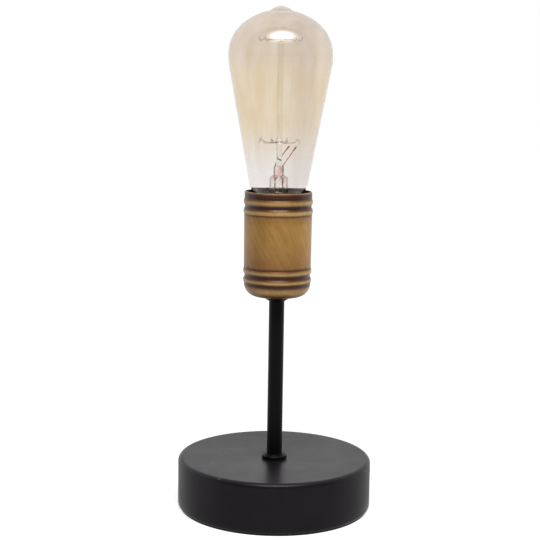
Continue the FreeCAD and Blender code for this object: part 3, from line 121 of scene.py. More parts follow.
class Sheet:
    """A node tree with short ways to add nodes and join them."""

    def __init__(self, tree: bpy.types.NodeTree) -> None:
        """Keep the tree that nodes are added to."""
        self.tree = tree

    def add(self, kind: str, **settings: Any) -> bpy.types.Node:
        """Add a node and set its properties.

        Args:
            kind: Blender's name of the node type.
            **settings: Properties of the node by name.

        Returns:
            The new node.
        """
        node = self.tree.nodes.new(kind)
        for name, value in settings.items():
            setattr(node, name, value)
        return node

    def feed(self, node: bpy.types.Node, name: str | int, value: Any) -> None:
        """Give a node's input a socket to read or a plain value.

        Args:
            node: The node that has the input.
            name: The input's name or place.
            value: An output socket, a number, a vector or a colour.
        """
        socket = node.inputs[name]
        if isinstance(value, bpy.types.NodeSocket):
            self.tree.links.new(value, socket)
        elif socket.type == "RGBA" and len(value) == 3:
            socket.default_value = (*value, 1.0)
        else:
            socket.default_value = value

    def feed_all(self, node: bpy.types.Node, values: dict[str, Any]) -> None:
        """Give several inputs of a node their sockets or values.

        Args:
            node: The node that has the inputs.
            values: A socket or value for each input's name.
        """
        for name, value in values.items():
            self.feed(node, name, value)

    def math(self, operation: str, first: Any, second: Any) -> Any:
        """Work out one number from two.

        Args:
            operation: The Math node's operation.
            first: Socket or number.
            second: Socket or number.

        Returns:
            The output socket.
        """
        node = self.add("ShaderNodeMath", operation=operation)
        self.feed(node, 0, first)
        self.feed(node, 1, second)
        return node.outputs[0]

    def span(self, value: Any, reach: Span) -> Any:
        """Stretch a range of values, and hold the results past its two ends.

        Args:
            value: Socket to read.
            reach: The range and its results.

        Returns:
            The output socket.
        """
        node = self.add("ShaderNodeMapRange",
                        interpolation_type="SMOOTHSTEP" if reach.smooth else "LINEAR")
        self.feed_all(node, {"Value": value, "From Min": reach.low, "From Max": reach.high,
                             "To Min": reach.start, "To Max": reach.end})
        return node.outputs["Result"]

    def mix(self, share: Any, first: Any, second: Any, blend: str = "MIX") -> Any:
        """Mix two colours.

        Args:
            share: Socket or number, 0 for the first colour and 1 for the second.
            first: Socket or colour.
            second: Socket or colour.
            blend: The Mix node's blend type.

        Returns:
            The colour socket.
        """
        node = self.add("ShaderNodeMix", data_type="RGBA", blend_type=blend)
        self.feed(node, MixSocket.SHARE, share)
        self.feed(node, MixSocket.FIRST, first)
        self.feed(node, MixSocket.SECOND, second)
        return node.outputs[MixSocket.RESULT]

    def noise(self, place: Any, scale: Any, detail: float, roughness: float = 0.5,
              distortion: float = 0.0) -> Any:
        """Add a noise texture and give its value.

        Args:
            place: Vector socket that places the pattern.
            scale: Size of the pattern, as a socket or a number.
            detail: Number of finer layers.
            roughness: Strength of the finer layers.
            distortion: How far the pattern is stirred.

        Returns:
            The value socket.
        """
        node = self.add("ShaderNodeTexNoise")
        self.feed_all(node, {"Vector": place, "Scale": scale, "Detail": detail,
                             "Roughness": roughness, "Distortion": distortion})
        return node.outputs[0]

    def axes(self, vector: Any) -> Any:
        """Take a vector apart.

        Args:
            vector: Socket of the vector.

        Returns:
            The outputs X, Y and Z.
        """
        node = self.add("ShaderNodeSeparateXYZ")
        self.feed(node, 0, vector)
        return node.outputs

    def normal(self) -> Any:
        """Give the way that the surface faces."""
        return self.add("ShaderNodeNewGeometry").outputs["Normal"]

    def object_place(self, stretch: Triple = UNSTRETCHED) -> Any:
        """Give the place on the piece, stretched if asked.

        Args:
            stretch: Scale on the three axes.

        Returns:
            The vector socket.
        """
        source = self.add("ShaderNodeTexCoord").outputs["Object"]
        if stretch == UNSTRETCHED:
            return source
        mapping = self.add("ShaderNodeMapping")
        self.feed(mapping, "Vector", source)
        self.feed(mapping, "Scale", stretch)
        return mapping.outputs[0]

    def height_ramp(self, height: Any, low: float, high: float,
                    levels: Sequence[tuple[float, Colour]]) -> Any:
        """Colour a piece by height, blending evenly from each level to the next.

        Args:
            height: Socket of the height, in metres.
            low: Height at the ramp's start, in millimetres.
            high: Height at the ramp's end, in millimetres.
            levels: Heights in millimetres, from low to high, each with its colour.

        Returns:
            The colour socket.
        """
        start, end = low * MM, high * MM
        ramp = self.add("ShaderNodeValToRGB")
        self.feed(ramp, 0, self.span(height, Span(start, end, smooth=False)))
        stops = ramp.color_ramp.elements
        while len(stops) < len(levels):
            stops.new(MIDDLE)
        for stop, (level, colour) in zip(stops, levels):
            stop.position = (level * MM - start) / (end - start)
            stop.color = (*colour, 1.0)
        return ramp.outputs[0]


def make_group(name: str, inputs: Sequence[tuple[str, str]],
               outputs: Sequence[tuple[str, str]]) -> tuple[Sheet, Any, Any]:
    """Start a shader node group with named sockets.

    Args:
        name: The group's name.
        inputs: Name and socket type of each input.
        outputs: Name and socket type of each output.

    Returns:
        The group's sheet, the outputs of its input node, and its output node.
    """
    tree = bpy.data.node_groups.new(name, "ShaderNodeTree")
    for way, sockets in (("INPUT", inputs), ("OUTPUT", outputs)):
        for label, kind in sockets:
            tree.interface.new_socket(label, in_out=way, socket_type=kind)
    sheet = Sheet(tree)
    return sheet, sheet.add("NodeGroupInput").outputs, sheet.add("NodeGroupOutput")


def grain_group() -> bpy.types.NodeTree:
    """Build the shared group that gives fine grain and slow cloudiness.

    Returns:
        The group, with Place, Grain Scale and Cloud Scale in, and Grain and Cloud out.
    """
    sheet, given, result = make_group(
        "fine_grain",
        [("Place", "NodeSocketVector"), ("Grain Scale", "NodeSocketFloat"),
         ("Cloud Scale", "NodeSocketFloat")],
        [("Grain", "NodeSocketFloat"), ("Cloud", "NodeSocketFloat")])
    sheet.feed(result, "Grain", sheet.noise(given["Place"], given["Grain Scale"], detail=2.0,
                                            roughness=0.6))
    sheet.feed(result, "Cloud", sheet.noise(given["Place"], given["Cloud Scale"], detail=4.0,
                                            roughness=0.55, distortion=0.3))
    return sheet.tree


def streak_group() -> bpy.types.NodeTree:
    """Build the shared group that gives fine brushed lines with broader ones among them.

    Returns:
        The group, with Place and Scale in, and Streaks out.
    """
    broad_scale = 0.23
    fine_weight = 0.6
    broad_weight = 0.4
    sheet, given, result = make_group(
        "brushed_lines",
        [("Place", "NodeSocketVector"), ("Scale", "NodeSocketFloat")],
        [("Streaks", "NodeSocketFloat")])
    fine = sheet.noise(given["Place"], given["Scale"], detail=6.0, roughness=0.7)
    broad = sheet.noise(given["Place"], sheet.math("MULTIPLY", given["Scale"], broad_scale),
                        detail=2.0)
    sheet.feed(result, "Streaks", sheet.math("ADD", sheet.math("MULTIPLY", fine, fine_weight),
                                             sheet.math("MULTIPLY", broad, broad_weight)))
    return sheet.tree


GRAIN = grain_group()
STREAKS = streak_group()

# ---------------------------------------------------------------- finishes


@dataclass(frozen=True)
class Finish(ABC):
    """Common part of every finish: one material with one shader.

    Attributes:
        name: Name of the material.
    """

    name: str

    @abstractmethod
    def build(self) -> bpy.types.Material:
        """Make the material."""

    def start(self) -> tuple[bpy.types.Material, Sheet, Any]:
        """Make an empty material with a shader in it.

        Returns:
            The material, its sheet and its shader.
        """
        material = bpy.data.materials.new(self.name)
        material.use_nodes = True
        return material, Sheet(material.node_tree), material.node_tree.nodes["Principled BSDF"]

    def grain(self, sheet: Sheet, place: Any, grain_scale: float, cloud_scale: float) -> Any:
        """Add the shared grain group.

        Args:
            sheet: Sheet of the material.
            place: Vector socket.
            grain_scale: Scale of the fine grain.
            cloud_scale: Scale of the slow cloudiness.

        Returns:
            The outputs Grain and Cloud.
        """
        node = sheet.add("ShaderNodeGroup", node_tree=GRAIN)
        sheet.feed_all(node, {"Place": place, "Grain Scale": grain_scale,
                              "Cloud Scale": cloud_scale})
        return node.outputs

    def streaks(self, sheet: Sheet, place: Any, scale: float) -> Any:
        """Add the shared group of brushed lines.

        Args:
            sheet: Sheet of the material.
            place: Vector socket, stretched along the lines.
            scale: Scale of the lines.

        Returns:
            Socket of the lines.
        """
        node = sheet.add("ShaderNodeGroup", node_tree=STREAKS)
        sheet.feed_all(node, {"Place": place, "Scale": scale})
        return node.outputs[0]

    def bump(self, sheet: Sheet, shader: Any, height: Any, strength: float, depth: float) -> None:
        """Raise the surface by a pattern.

        Args:
            sheet: Sheet of the material.
            shader: Shader that takes the normal.
            height: Socket of the pattern.
            strength: Strength of the bump.
            depth: Height of the pattern in metres.
        """
        node = sheet.add("ShaderNodeBump")
        sheet.feed_all(node, {"Strength": strength, "Distance": depth, "Height": height})
        sheet.feed(shader, "Normal", node.outputs[0])


@dataclass(frozen=True)
class PowderCoat(Finish):
    """Satin powder coat on steel: even, with a fine orange-peel and a little settled dust.

    Attributes:
        colour: Colour of the coat.
        roughness: Middle roughness.
        gloss: Level of its mirror reflection.
        peel: Strength of the orange-peel.
        dust: Strength of the dust specks, 0 for none.
        specks: Range of a noise above which a speck of dust lies.
        facing_up: Range of the normal's Z over which dust settles.
        rubbing: Range of the cloudiness and how far it moves the roughness.
    """

    colour: Colour
    roughness: float
    gloss: float
    peel: float
    dust: float
    reflection_tint: Colour = (1.0, 0.95, 0.965)
    dust_colour: Colour = (0.42, 0.4, 0.38)
    peel_scale: float = 1400.0
    cloud_scale: float = 35.0
    speck_scale: float = 950.0
    lighter_gain: float = 1.8
    lighter_lift: float = 0.003
    clouding: Span = Span(0.3, 0.75, 0.0, 0.45)
    specks: Span = Span(0.83, 0.86)
    facing_up: Span = Span(0.5, 0.95)
    rubbing: Span = Span(0.2, 0.8, -0.04, 0.05)
    peel_depth: float = 0.05 * MM

    def build(self) -> bpy.types.Material:
        """Make the material.

        Returns:
            The material.
        """
        material, sheet, shader = self.start()
        place = sheet.object_place()
        pattern = self.grain(sheet, place, self.peel_scale, self.cloud_scale)
        lighter = tuple(part * self.lighter_gain + self.lighter_lift for part in self.colour)
        tone = sheet.mix(sheet.span(pattern["Cloud"], self.clouding), self.colour, lighter)
        specks = sheet.span(sheet.noise(place, self.speck_scale, detail=0.0),
                            self.specks.times(self.dust))
        upward = sheet.span(sheet.axes(sheet.normal())["Z"], self.facing_up)
        settled = sheet.math("MULTIPLY", specks, upward)
        sheet.feed_all(shader, {
            "Base Color": sheet.mix(settled, tone, self.dust_colour),
            "Roughness": sheet.span(pattern["Cloud"], self.rubbing.around(self.roughness)),
            "Specular IOR Level": self.gloss,
            "Specular Tint": self.reflection_tint})
        self.bump(sheet, shader, pattern["Grain"], self.peel, self.peel_depth)
        return material


class Tone(Enum):
    """Tones of the antiqued brass, from rubbed bright to black in the grooves: partly patina and
    wear, partly painted highlight and painted shade of the lit beads.
    """

    BRIGHT = from_screen(206, 170, 110)
    GOLD = from_screen(176, 138, 82)
    TAN = from_screen(176, 138, 96)
    BODY = from_screen(186, 143, 75)
    LOW_BODY = from_screen(162, 116, 64)
    UPPER = from_screen(168, 124, 64)
    FAINT = from_screen(124, 84, 48)
    LINE = from_screen(104, 62, 34)
    BROWN = from_screen(88, 54, 33)
    DARK = from_screen(60, 34, 21)
    LIP = from_screen(160, 130, 92)


@dataclass(frozen=True)
class AntiqueBrass(Finish):
    """Spun brass, darkened in the grooves, brushed back on the high parts and lacquered, with
    painted highlight and painted shade in its bands and painted shade on its left side.

    Attributes:
        low: Height at the foot of the bands, in millimetres.
        high: Height at the top of the bands, in millimetres.
        bands: Height and tone pairs, in millimetres, from the foot up, partly patina and wear and
            partly painted highlight and painted shade.
        hairline_turn: How far the brushed lines turn round the cover, in radians per metre.
        brushing: Range of the brushed lines and the strength of their shade.
        left_painted_shade: Places along X, in metres, over which painted shade darkens the left
            side of the brass, and how far.
        facing_axis: Range of the normal times the place, in metres, on the inner wall.
        wander_reach: How far the bands' edges wander, in metres.
        rubbing: Range of the brushed lines and the roughness that it gives.
    """

    low: float
    high: float
    bands: tuple[tuple[float, Tone], ...]
    hairline_turn: float
    hairline_scale: float = 2200.0
    hairline_squeeze: Triple = (1.0, 1.0, 0.14)
    brushing: Span = Span(0.4, 0.62, 0.0, 0.24)
    brushed_shade: Colour = from_screen(150, 118, 84)
    grain_scale: float = 1800.0
    cloud_scale: float = 60.0
    clouding: Span = Span(0.4, 0.75, 0.0, 0.25)
    clouded_shade: Colour = from_screen(140, 108, 74)
    # Painted shade: the left side of the cover is darkened.
    left_painted_shade: Span = Span(-0.003, -0.017, 0.0, 0.5)
    left_painted_shade_colour: Colour = from_screen(176, 168, 156)
    inside: Colour = (0.012, 0.009, 0.007)
    facing_axis: Span = Span(-0.004, -0.012)
    wander_scale: float = 90.0
    wander_reach: float = 0.6 * MM
    rubbing: Span = Span(0.3, 0.7, 0.4, 0.55)
    grain_weight: float = 0.3
    relief_depth: float = 0.04 * MM

    def build(self) -> bpy.types.Material:
        """Make the material.

        Returns:
            The material.
        """
        material, sheet, shader = self.start()
        place = sheet.object_place()
        axes = sheet.axes(place)
        hairlines = self.hairlines(sheet, place, axes["Z"])
        pattern = self.grain(sheet, place, self.grain_scale, self.cloud_scale)
        colour = self.banded_with_painted_light(sheet, place, axes["Z"])
        # Brushed lines and clouds are the brass's own marks; the last mask is painted shade on the
        # left side.
        for mask, shade in ((sheet.span(hairlines, self.brushing), self.brushed_shade),
                            (sheet.span(pattern["Cloud"], self.clouding), self.clouded_shade),
                            (sheet.span(axes["X"], self.left_painted_shade), self.left_painted_shade_colour)):
            colour = sheet.mix(mask, colour, shade, "MULTIPLY")
        sheet.feed_all(shader, {
            "Base Color": sheet.mix(self.inside_mask(sheet, axes), colour, self.inside),
            "Metallic": 0.45,
            "Specular IOR Level": 0.25,
            "Roughness": sheet.span(hairlines, self.rubbing),
            "Coat Weight": 0.3,
            "Coat Roughness": 0.2})
        relief = sheet.math("ADD", hairlines,
                            sheet.math("MULTIPLY", pattern["Grain"], self.grain_weight))
        self.bump(sheet, shader, relief, strength=0.2, depth=self.relief_depth)
        return material

    def banded_with_painted_light(self, sheet: Sheet, place: Any, height: Any) -> Any:
        """Colour the cover in bands of patina, wear, painted highlight and painted shade, with
        slightly uneven edges.

        Args:
            sheet: Sheet of the material.
            place: Place on the cover.
            height: Height on the cover.

        Returns:
            The colour socket.
        """
        drift = sheet.math("SUBTRACT", sheet.noise(place, self.wander_scale, detail=3.0), MIDDLE)
        wander = sheet.math("MULTIPLY", drift, self.wander_reach)
        return sheet.height_ramp(sheet.math("ADD", height, wander), self.low, self.high,
                                 [(level, tone.value) for level, tone in self.bands])

    def hairlines(self, sheet: Sheet, place: Any, height: Any) -> Any:
        """Draw the fine brushed lines, which climb round the cover in steep screws.

        Args:
            sheet: Sheet of the material.
            place: Place on the cover.
            height: Height on the cover.

        Returns:
            Socket of the lines.
        """
        turned = sheet.add("ShaderNodeVectorRotate", rotation_type="Z_AXIS")
        sheet.feed(turned, "Vector", place)
        sheet.feed(turned, "Angle", sheet.math("MULTIPLY", height, self.hairline_turn))
        squeezed = sheet.add("ShaderNodeVectorMath", operation="MULTIPLY")
        sheet.feed(squeezed, 0, turned.outputs[0])
        sheet.feed(squeezed, 1, self.hairline_squeeze)
        return self.streaks(sheet, squeezed.outputs[0], self.hairline_scale)

    def inside_mask(self, sheet: Sheet, place: Any) -> Any:
        """Find the inner wall of the cover, which faces its axis.

        Args:
            sheet: Sheet of the material.
            place: X, Y and Z of the place on the cover.

        Returns:
            Socket that is 1 on the inner wall.
        """
        facing = sheet.axes(sheet.normal())
        outward = sheet.math("ADD", sheet.math("MULTIPLY", facing["X"], place["X"]),
                             sheet.math("MULTIPLY", facing["Y"], place["Y"]))
        return sheet.span(outward, self.facing_axis)


@dataclass(frozen=True)
class PlainMetal(Finish):
    """Plated, rolled or drawn metal with faint lines and some tarnish.

    Attributes:
        colour: Colour of the clean metal.
        tarnish: Colour of the tarnished metal.
        roughness: Middle roughness.
        wear: Share of tarnish in its full patches.
        lines: Stretch of the drawn lines on the three axes, small along the lines.
        rubbing: Range of the drawn lines and how far it moves the roughness.
    """

    colour: Colour
    tarnish: Colour
    roughness: float
    wear: float
    lines: Triple = UNSTRETCHED
    grain_scale: float = 2600.0
    cloud_scale: float = 180.0
    line_scale: float = 900.0
    line_depth: float = 0.04 * MM
    tarnishing: Span = Span(0.4, 0.75)
    rubbing: Span = Span(0.3, 0.7, -0.07, 0.08)

    def build(self) -> bpy.types.Material:
        """Make the material.

        Returns:
            The material.
        """
        material, sheet, shader = self.start()
        pattern = self.grain(sheet, sheet.object_place(), self.grain_scale, self.cloud_scale)
        streaks = self.streaks(sheet, sheet.object_place(self.lines), self.line_scale)
        tarnished = sheet.span(pattern["Cloud"], self.tarnishing.times(self.wear))
        sheet.feed_all(shader, {
            "Base Color": sheet.mix(tarnished, self.colour, self.tarnish),
            "Metallic": 1.0,
            "Roughness": sheet.span(streaks, self.rubbing.around(self.roughness))})
        self.bump(sheet, shader, streaks, strength=0.2, depth=self.line_depth)
        return material


@dataclass(frozen=True)
class CastIron(Finish):
    """Sand-cast iron, pitted and dull.

    Attributes:
        colour: Colour of the iron.
    """

    colour: Colour
    rust_weights: Triple = (1.5, 1.0, 0.7)
    pit_scale: float = 900.0
    pit_depth: float = 0.3 * MM
    rust_scale: float = 90.0
    rusting: Span = Span(0.4, 0.7)
    rubbing: Span = Span(0.2, 0.8, 0.6, 0.8)

    def build(self) -> bpy.types.Material:
        """Make the material.

        Returns:
            The material.
        """
        material, sheet, shader = self.start()
        pattern = self.grain(sheet, sheet.object_place(), self.pit_scale, self.rust_scale)
        rust = tuple(part * weight for part, weight in zip(self.colour, self.rust_weights))
        sheet.feed_all(shader, {
            "Base Color": sheet.mix(sheet.span(pattern["Cloud"], self.rusting), self.colour, rust),
            "Metallic": 0.7,
            "Roughness": sheet.span(pattern["Grain"], self.rubbing)})
        self.bump(sheet, shader, pattern["Grain"], strength=0.6, depth=self.pit_depth)
        return material


@dataclass(frozen=True)
class Moulded(Finish):
    """Moulded or extruded insulation: plain colour with slight clouding.

    Attributes:
        colour: Colour of the piece.
        roughness: Middle roughness.
        texture: Strength of the fine relief.
    """

    colour: Colour
    roughness: float
    texture: float
    grain_scale: float = 1600.0
    cloud_scale: float = 120.0
    darkening: float = 0.82
    clouding: Span = Span(0.35, 0.7)
    rubbing: Span = Span(0.2, 0.8, -0.05, 0.06)
    relief_depth: float = 0.08 * MM

    def build(self) -> bpy.types.Material:
        """Make the material.

        Returns:
            The material.
        """
        material, sheet, shader = self.start()
        pattern = self.grain(sheet, sheet.object_place(), self.grain_scale, self.cloud_scale)
        darker = tuple(part * self.darkening for part in self.colour)
        clouded = sheet.span(pattern["Cloud"], self.clouding)
        sheet.feed_all(shader, {
            "Base Color": sheet.mix(clouded, self.colour, darker),
            "Roughness": sheet.span(pattern["Cloud"], self.rubbing.around(self.roughness))})
        self.bump(sheet, shader, pattern["Grain"], self.texture, self.relief_depth)
        return material


@dataclass(frozen=True)
class StripedLead(Finish):
    """Insulation of the earth lead, with a second colour striped over the first.

    Attributes:
        colour: First colour.
        stripe: Second colour.
    """

    colour: Colour
    stripe: Colour
    stripe_scale: float = 90.0
    stripe_edge: Span = Span(0.45, 0.55)
    grain_scale: float = 1600.0
    cloud_scale: float = 120.0
    rubbing: Span = Span(0.2, 0.8, 0.35, 0.48)
    relief_depth: float = 0.05 * MM

    def build(self) -> bpy.types.Material:
        """Make the material.

        Returns:
            The material.
        """
        material, sheet, shader = self.start()
        place = sheet.object_place()
        wave = sheet.add("ShaderNodeTexWave", wave_type="BANDS", bands_direction="Y")
        sheet.feed_all(wave, {"Vector": place, "Scale": self.stripe_scale})
        band = sheet.span(wave.outputs["Fac"], self.stripe_edge)
        pattern = self.grain(sheet, place, self.grain_scale, self.cloud_scale)
        sheet.feed_all(shader, {
            "Base Color": sheet.mix(band, self.colour, self.stripe),
            "Roughness": sheet.span(pattern["Cloud"], self.rubbing)})
        self.bump(sheet, shader, pattern["Grain"], strength=0.1, depth=self.relief_depth)
        return material


@dataclass(frozen=True)
class Felt(Finish):
    """Pressed felt: soft, matte and fibrous.

    Attributes:
        colour: Colour of the felt.
    """

    colour: Colour
    fibre_scale: float = 1800.0
    lint_scale: float = 300.0
    pale_gain: float = 2.5
    pale_lift: float = 0.01
    linting: Span = Span(0.45, 0.7)
    rubbing: Span = Span(0.2, 0.8, 0.88, 1.0)
    fibre_depth: float = 0.3 * MM

    def build(self) -> bpy.types.Material:
        """Make the material.

        Returns:
            The material.
        """
        material, sheet, shader = self.start()
        place = sheet.object_place()
        fibres = sheet.noise(place, self.fibre_scale, detail=5.0, roughness=0.75, distortion=1.2)
        lint = sheet.noise(place, self.lint_scale, detail=3.0, roughness=0.6, distortion=0.6)
        pale = tuple(part * self.pale_gain + self.pale_lift for part in self.colour)
        sheet.feed_all(shader, {
            "Base Color": sheet.mix(sheet.span(lint, self.linting), self.colour, pale),
            "Roughness": sheet.span(fibres, self.rubbing),
            "Sheen Weight": 0.3})
        self.bump(sheet, shader, fibres, strength=0.8, depth=self.fibre_depth)
        return material


@dataclass(frozen=True)
class BlownGlass(Finish):
    """Thin blown glass, tinted more at one height than another, darker at its edges, and with
    painted shade on its right side.

    Attributes:
        tints: Height and tint pairs, in millimetres, from the foot up.
        edge: Tint of a thin outer skin, which deepens where the glass is seen edge on.
        ripple: Strength of the uneven surface.
        mottle: Strength of the uneven tint.
        mottle_scale: Scale of the uneven surface and tint.
        roughness: Roughness of the surface.
        right_painted_shade: Strength of the painted shade, a deeper tint on the right.
        right_painted_shade_start: Places along X, in metres, over which that painted shade comes
            in.
        right_painted_shade_end: Places along X, in metres, over which it goes out again.
    """

    tints: tuple[tuple[float, Colour], ...]
    edge: Colour
    ripple: float
    mottle: float
    mottle_scale: float
    roughness: float = 0.0
    right_painted_shade: float = 0.0
    mottle_stretch: Triple = (1.0, 1.0, 0.25)
    mottle_tint: Colour = (0.96, 0.95, 0.94)
    mottling: Span = Span(0.4, 0.6)
    # Painted shade: a darker tint over the right side of the glass.
    right_painted_shade_tint: Colour = (0.7, 0.64, 0.61)
    right_painted_shade_start: Span = Span(0.0, 0.012)
    right_painted_shade_end: Span = Span(0.0195, 0.0235, 1.0, 0.0)
    ripple_depth: float = 0.6 * MM

    def build(self) -> bpy.types.Material:
        """Make the material.

        Returns:
            The material.
        """
        material, sheet, shader = self.start()
        axes = sheet.axes(sheet.object_place())
        graded = sheet.height_ramp(axes["Z"], self.tints[0][0], self.tints[-1][0], self.tints)
        uneven = sheet.noise(sheet.object_place(self.mottle_stretch), self.mottle_scale, detail=2.0)
        mottled = sheet.mix(sheet.span(uneven, self.mottling.times(self.mottle)), graded,
                            self.mottle_tint)
        # Mask of the painted shade on the right side of the glass.
        right_painted_shade_mask = sheet.math("MULTIPLY", sheet.span(axes["X"], self.right_painted_shade_start.times(self.right_painted_shade)),
                             sheet.span(axes["X"], self.right_painted_shade_end))
        sheet.feed_all(shader, {
            "Base Color": sheet.mix(right_painted_shade_mask, mottled, self.right_painted_shade_tint),
            "Roughness": self.roughness,
            "Transmission Weight": 1.0,
            "IOR": 1.47,
            "Coat Weight": 1.0,
            "Coat IOR": 1.01,
            "Coat Roughness": 0.0,
            "Coat Tint": self.edge})
        self.bump(sheet, shader, uneven, self.ripple, self.ripple_depth)
        return material


# ---------------------------------------------------------------- the lamp's sub-assemblies


def dress(finish: Finish, *nodes: str) -> None:
    """Put one finish on CAD nodes.

    Args:
        finish: The finish.
        *nodes: Names of the nodes.
    """
    material = finish.build()
    for name in nodes:
        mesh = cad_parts[name].data
        mesh.materials.clear()
        mesh.materials.append(material)
        LOG.info("%s dressed in %s", name, material.name)


@dataclass
class WeightedBase:
    """The round base with its pad, plate, ballast, cable inlet and wiring."""

    black: Colour = (0.0074, 0.0058, 0.0078)
    felt: Colour = (0.012, 0.012, 0.012)
    rubber: Colour = (0.012, 0.012, 0.012)
    iron: Colour = (0.09, 0.088, 0.085)

    def dress(self) -> None:
        """Give every piece of the base its finish."""
        self.dress_casing()
        self.dress_metal_fittings()
        self.dress_insulation()

    def dress_casing(self) -> None:
        """Give the shell, the pad and the ballast their finishes."""
        dress(PowderCoat("base_coat", colour=self.black, roughness=0.33, gloss=0.17, peel=0.22,
                         dust=0.5), "base_shell")
        dress(Felt("felt", colour=self.felt), "base_pad")
        dress(CastIron("ballast", colour=self.iron), "base_weight")

    def dress_metal_fittings(self) -> None:
        """Give the plate, the screws, the barrels and the lug their finishes."""
        dress(PlainMetal("zinc_plate", colour=(0.55, 0.55, 0.53), tarnish=(0.36, 0.36, 0.36),
                         roughness=0.42, wear=0.6, lines=(1.0, 0.1, 1.0)), "bottom_plate")
        dress(PlainMetal("zinc_screws", colour=(0.62, 0.61, 0.58), tarnish=(0.4, 0.38, 0.33),
                         roughness=0.34, wear=0.5),
              "plate_screws", "block_screws", "earth_screw", "pole_screws")
        dress(PlainMetal("block_brass", colour=(0.66, 0.47, 0.2), tarnish=(0.4, 0.26, 0.1),
                         roughness=0.3, wear=0.5, lines=(0.1, 1.0, 1.0)), "terminal_barrels")
        dress(PlainMetal("tinned_lug", colour=(0.68, 0.68, 0.67), tarnish=(0.5, 0.5, 0.48),
                         roughness=0.3, wear=0.4), "earth_lug")

    def dress_insulation(self) -> None:
        """Give the bushing, the block and the three leads their finishes."""
        dress(Moulded("bushing_rubber", colour=self.rubber, roughness=0.55, texture=0.25),
              "cable_bushing")
        dress(Moulded("block_moulding", colour=(0.72, 0.71, 0.66), roughness=0.45, texture=0.15),
              "terminal_block")
        dress(Moulded("brown_insulation", colour=(0.07, 0.026, 0.012), roughness=0.4, texture=0.1),
              "live_lead")
        dress(Moulded("blue_insulation", colour=(0.012, 0.06, 0.35), roughness=0.4, texture=0.1),
              "neutral_lead")
        dress(StripedLead("earth_insulation", colour=(0.05, 0.25, 0.03), stripe=(0.75, 0.6, 0.04)),
              "earth_lead")


@dataclass
class Stem:
    """The tube, its collars and the fixings at its two ends."""

    black: Colour = (0.0024, 0.002, 0.0026)

    def dress(self) -> None:
        """Give every piece of the stem its finish."""
        dress(PowderCoat("stem_coat", colour=self.black, roughness=0.4, gloss=0.12, peel=0.18,
                         dust=0.0), "stem_tube", "foot_collar", "head_collar")
        dress(PlainMetal("zinc_nuts", colour=(0.6, 0.59, 0.56), tarnish=(0.4, 0.38, 0.33),
                         roughness=0.36, wear=0.5),
              "clamp_washer", "base_nut", "cover_washer", "cover_nut", "grub_screw")


@dataclass
class SocketCover:
    """The spun brass cover with its four beads.

    Heights are in millimetres above the floor, and the turn in radians per metre.
    """

    bottom: float = 133.0
    top: float = 197.4
    hairline_turn: float = 25.8

    def bands(self) -> tuple[tuple[float, Tone], ...]:
        """List the tone at each height, in millimetres, from the foot to the rim: partly patina and
        wear, partly painted highlight and painted shade.

        Returns:
            Height and tone pairs.
        """
        # Bright tones on the bead crests are partly painted highlight. Dark tones in the grooves
        # and below the crests are partly painted shade. Both sit on top of real patina and wear.
        foot = ((134.3, Tone.LINE), (135.6, Tone.GOLD), (137.0, Tone.BRIGHT), (138.8, Tone.TAN),
                (140.2, Tone.BROWN))
        low_beads = ((141.5, Tone.DARK), (142.3, Tone.FAINT), (143.1, Tone.BRIGHT),
                     (143.9, Tone.GOLD), (144.7, Tone.BROWN), (146.8, Tone.DARK),
                     (147.6, Tone.FAINT), (148.6, Tone.BRIGHT), (149.7, Tone.GOLD),
                     (150.5, Tone.LINE), (151.2, Tone.BROWN))
        body = ((152.4, Tone.LOW_BODY), (168.0, Tone.BODY), (177.0, Tone.BODY),
                (182.4, Tone.UPPER))
        high_beads = ((183.6, Tone.LINE), (184.7, Tone.BRIGHT), (185.8, Tone.BRIGHT),
                      (186.8, Tone.LINE), (188.0, Tone.DARK), (189.3, Tone.DARK),
                      (190.3, Tone.GOLD), (191.4, Tone.BRIGHT), (192.7, Tone.FAINT))
        rim = ((193.9, Tone.DARK), (196.3, Tone.BROWN), (197.2, Tone.LIP))
        return foot + low_beads + body + high_beads + rim

    def dress(self) -> None:
        """Give the cover its finish."""
        dress(AntiqueBrass("antique_brass", low=self.bottom, high=self.top, bands=self.bands(),
                           hairline_turn=self.hairline_turn), "socket_cover")


@dataclass
class Lampholder:
    """The moulded lampholder with its contacts, inside the cover."""

    body: Colour = (0.012, 0.011, 0.01)
    clay: Colour = (0.78, 0.76, 0.7)

    def dress(self) -> None:
        """Give every piece of the lampholder its finish."""
        dress(Moulded("holder_moulding", colour=self.body, roughness=0.45, texture=0.3),
              "holder_cap", "holder_body")
        dress(Moulded("fired_clay", colour=self.clay, roughness=0.3, texture=0.12),
              "contact_carrier")
        dress(PlainMetal("contact_brass", colour=(0.7, 0.5, 0.22), tarnish=(0.42, 0.27, 0.12),
                         roughness=0.3, wear=0.5, lines=(1.0, 1.0, 0.15)),
              "contact_rivets", "centre_contact", "screw_shell", "live_terminal",
              "neutral_terminal")
        dress(PlainMetal("terminal_zinc", colour=(0.62, 0.61, 0.58), tarnish=(0.4, 0.38, 0.33),
                         roughness=0.34, wear=0.5), "terminal_screws")


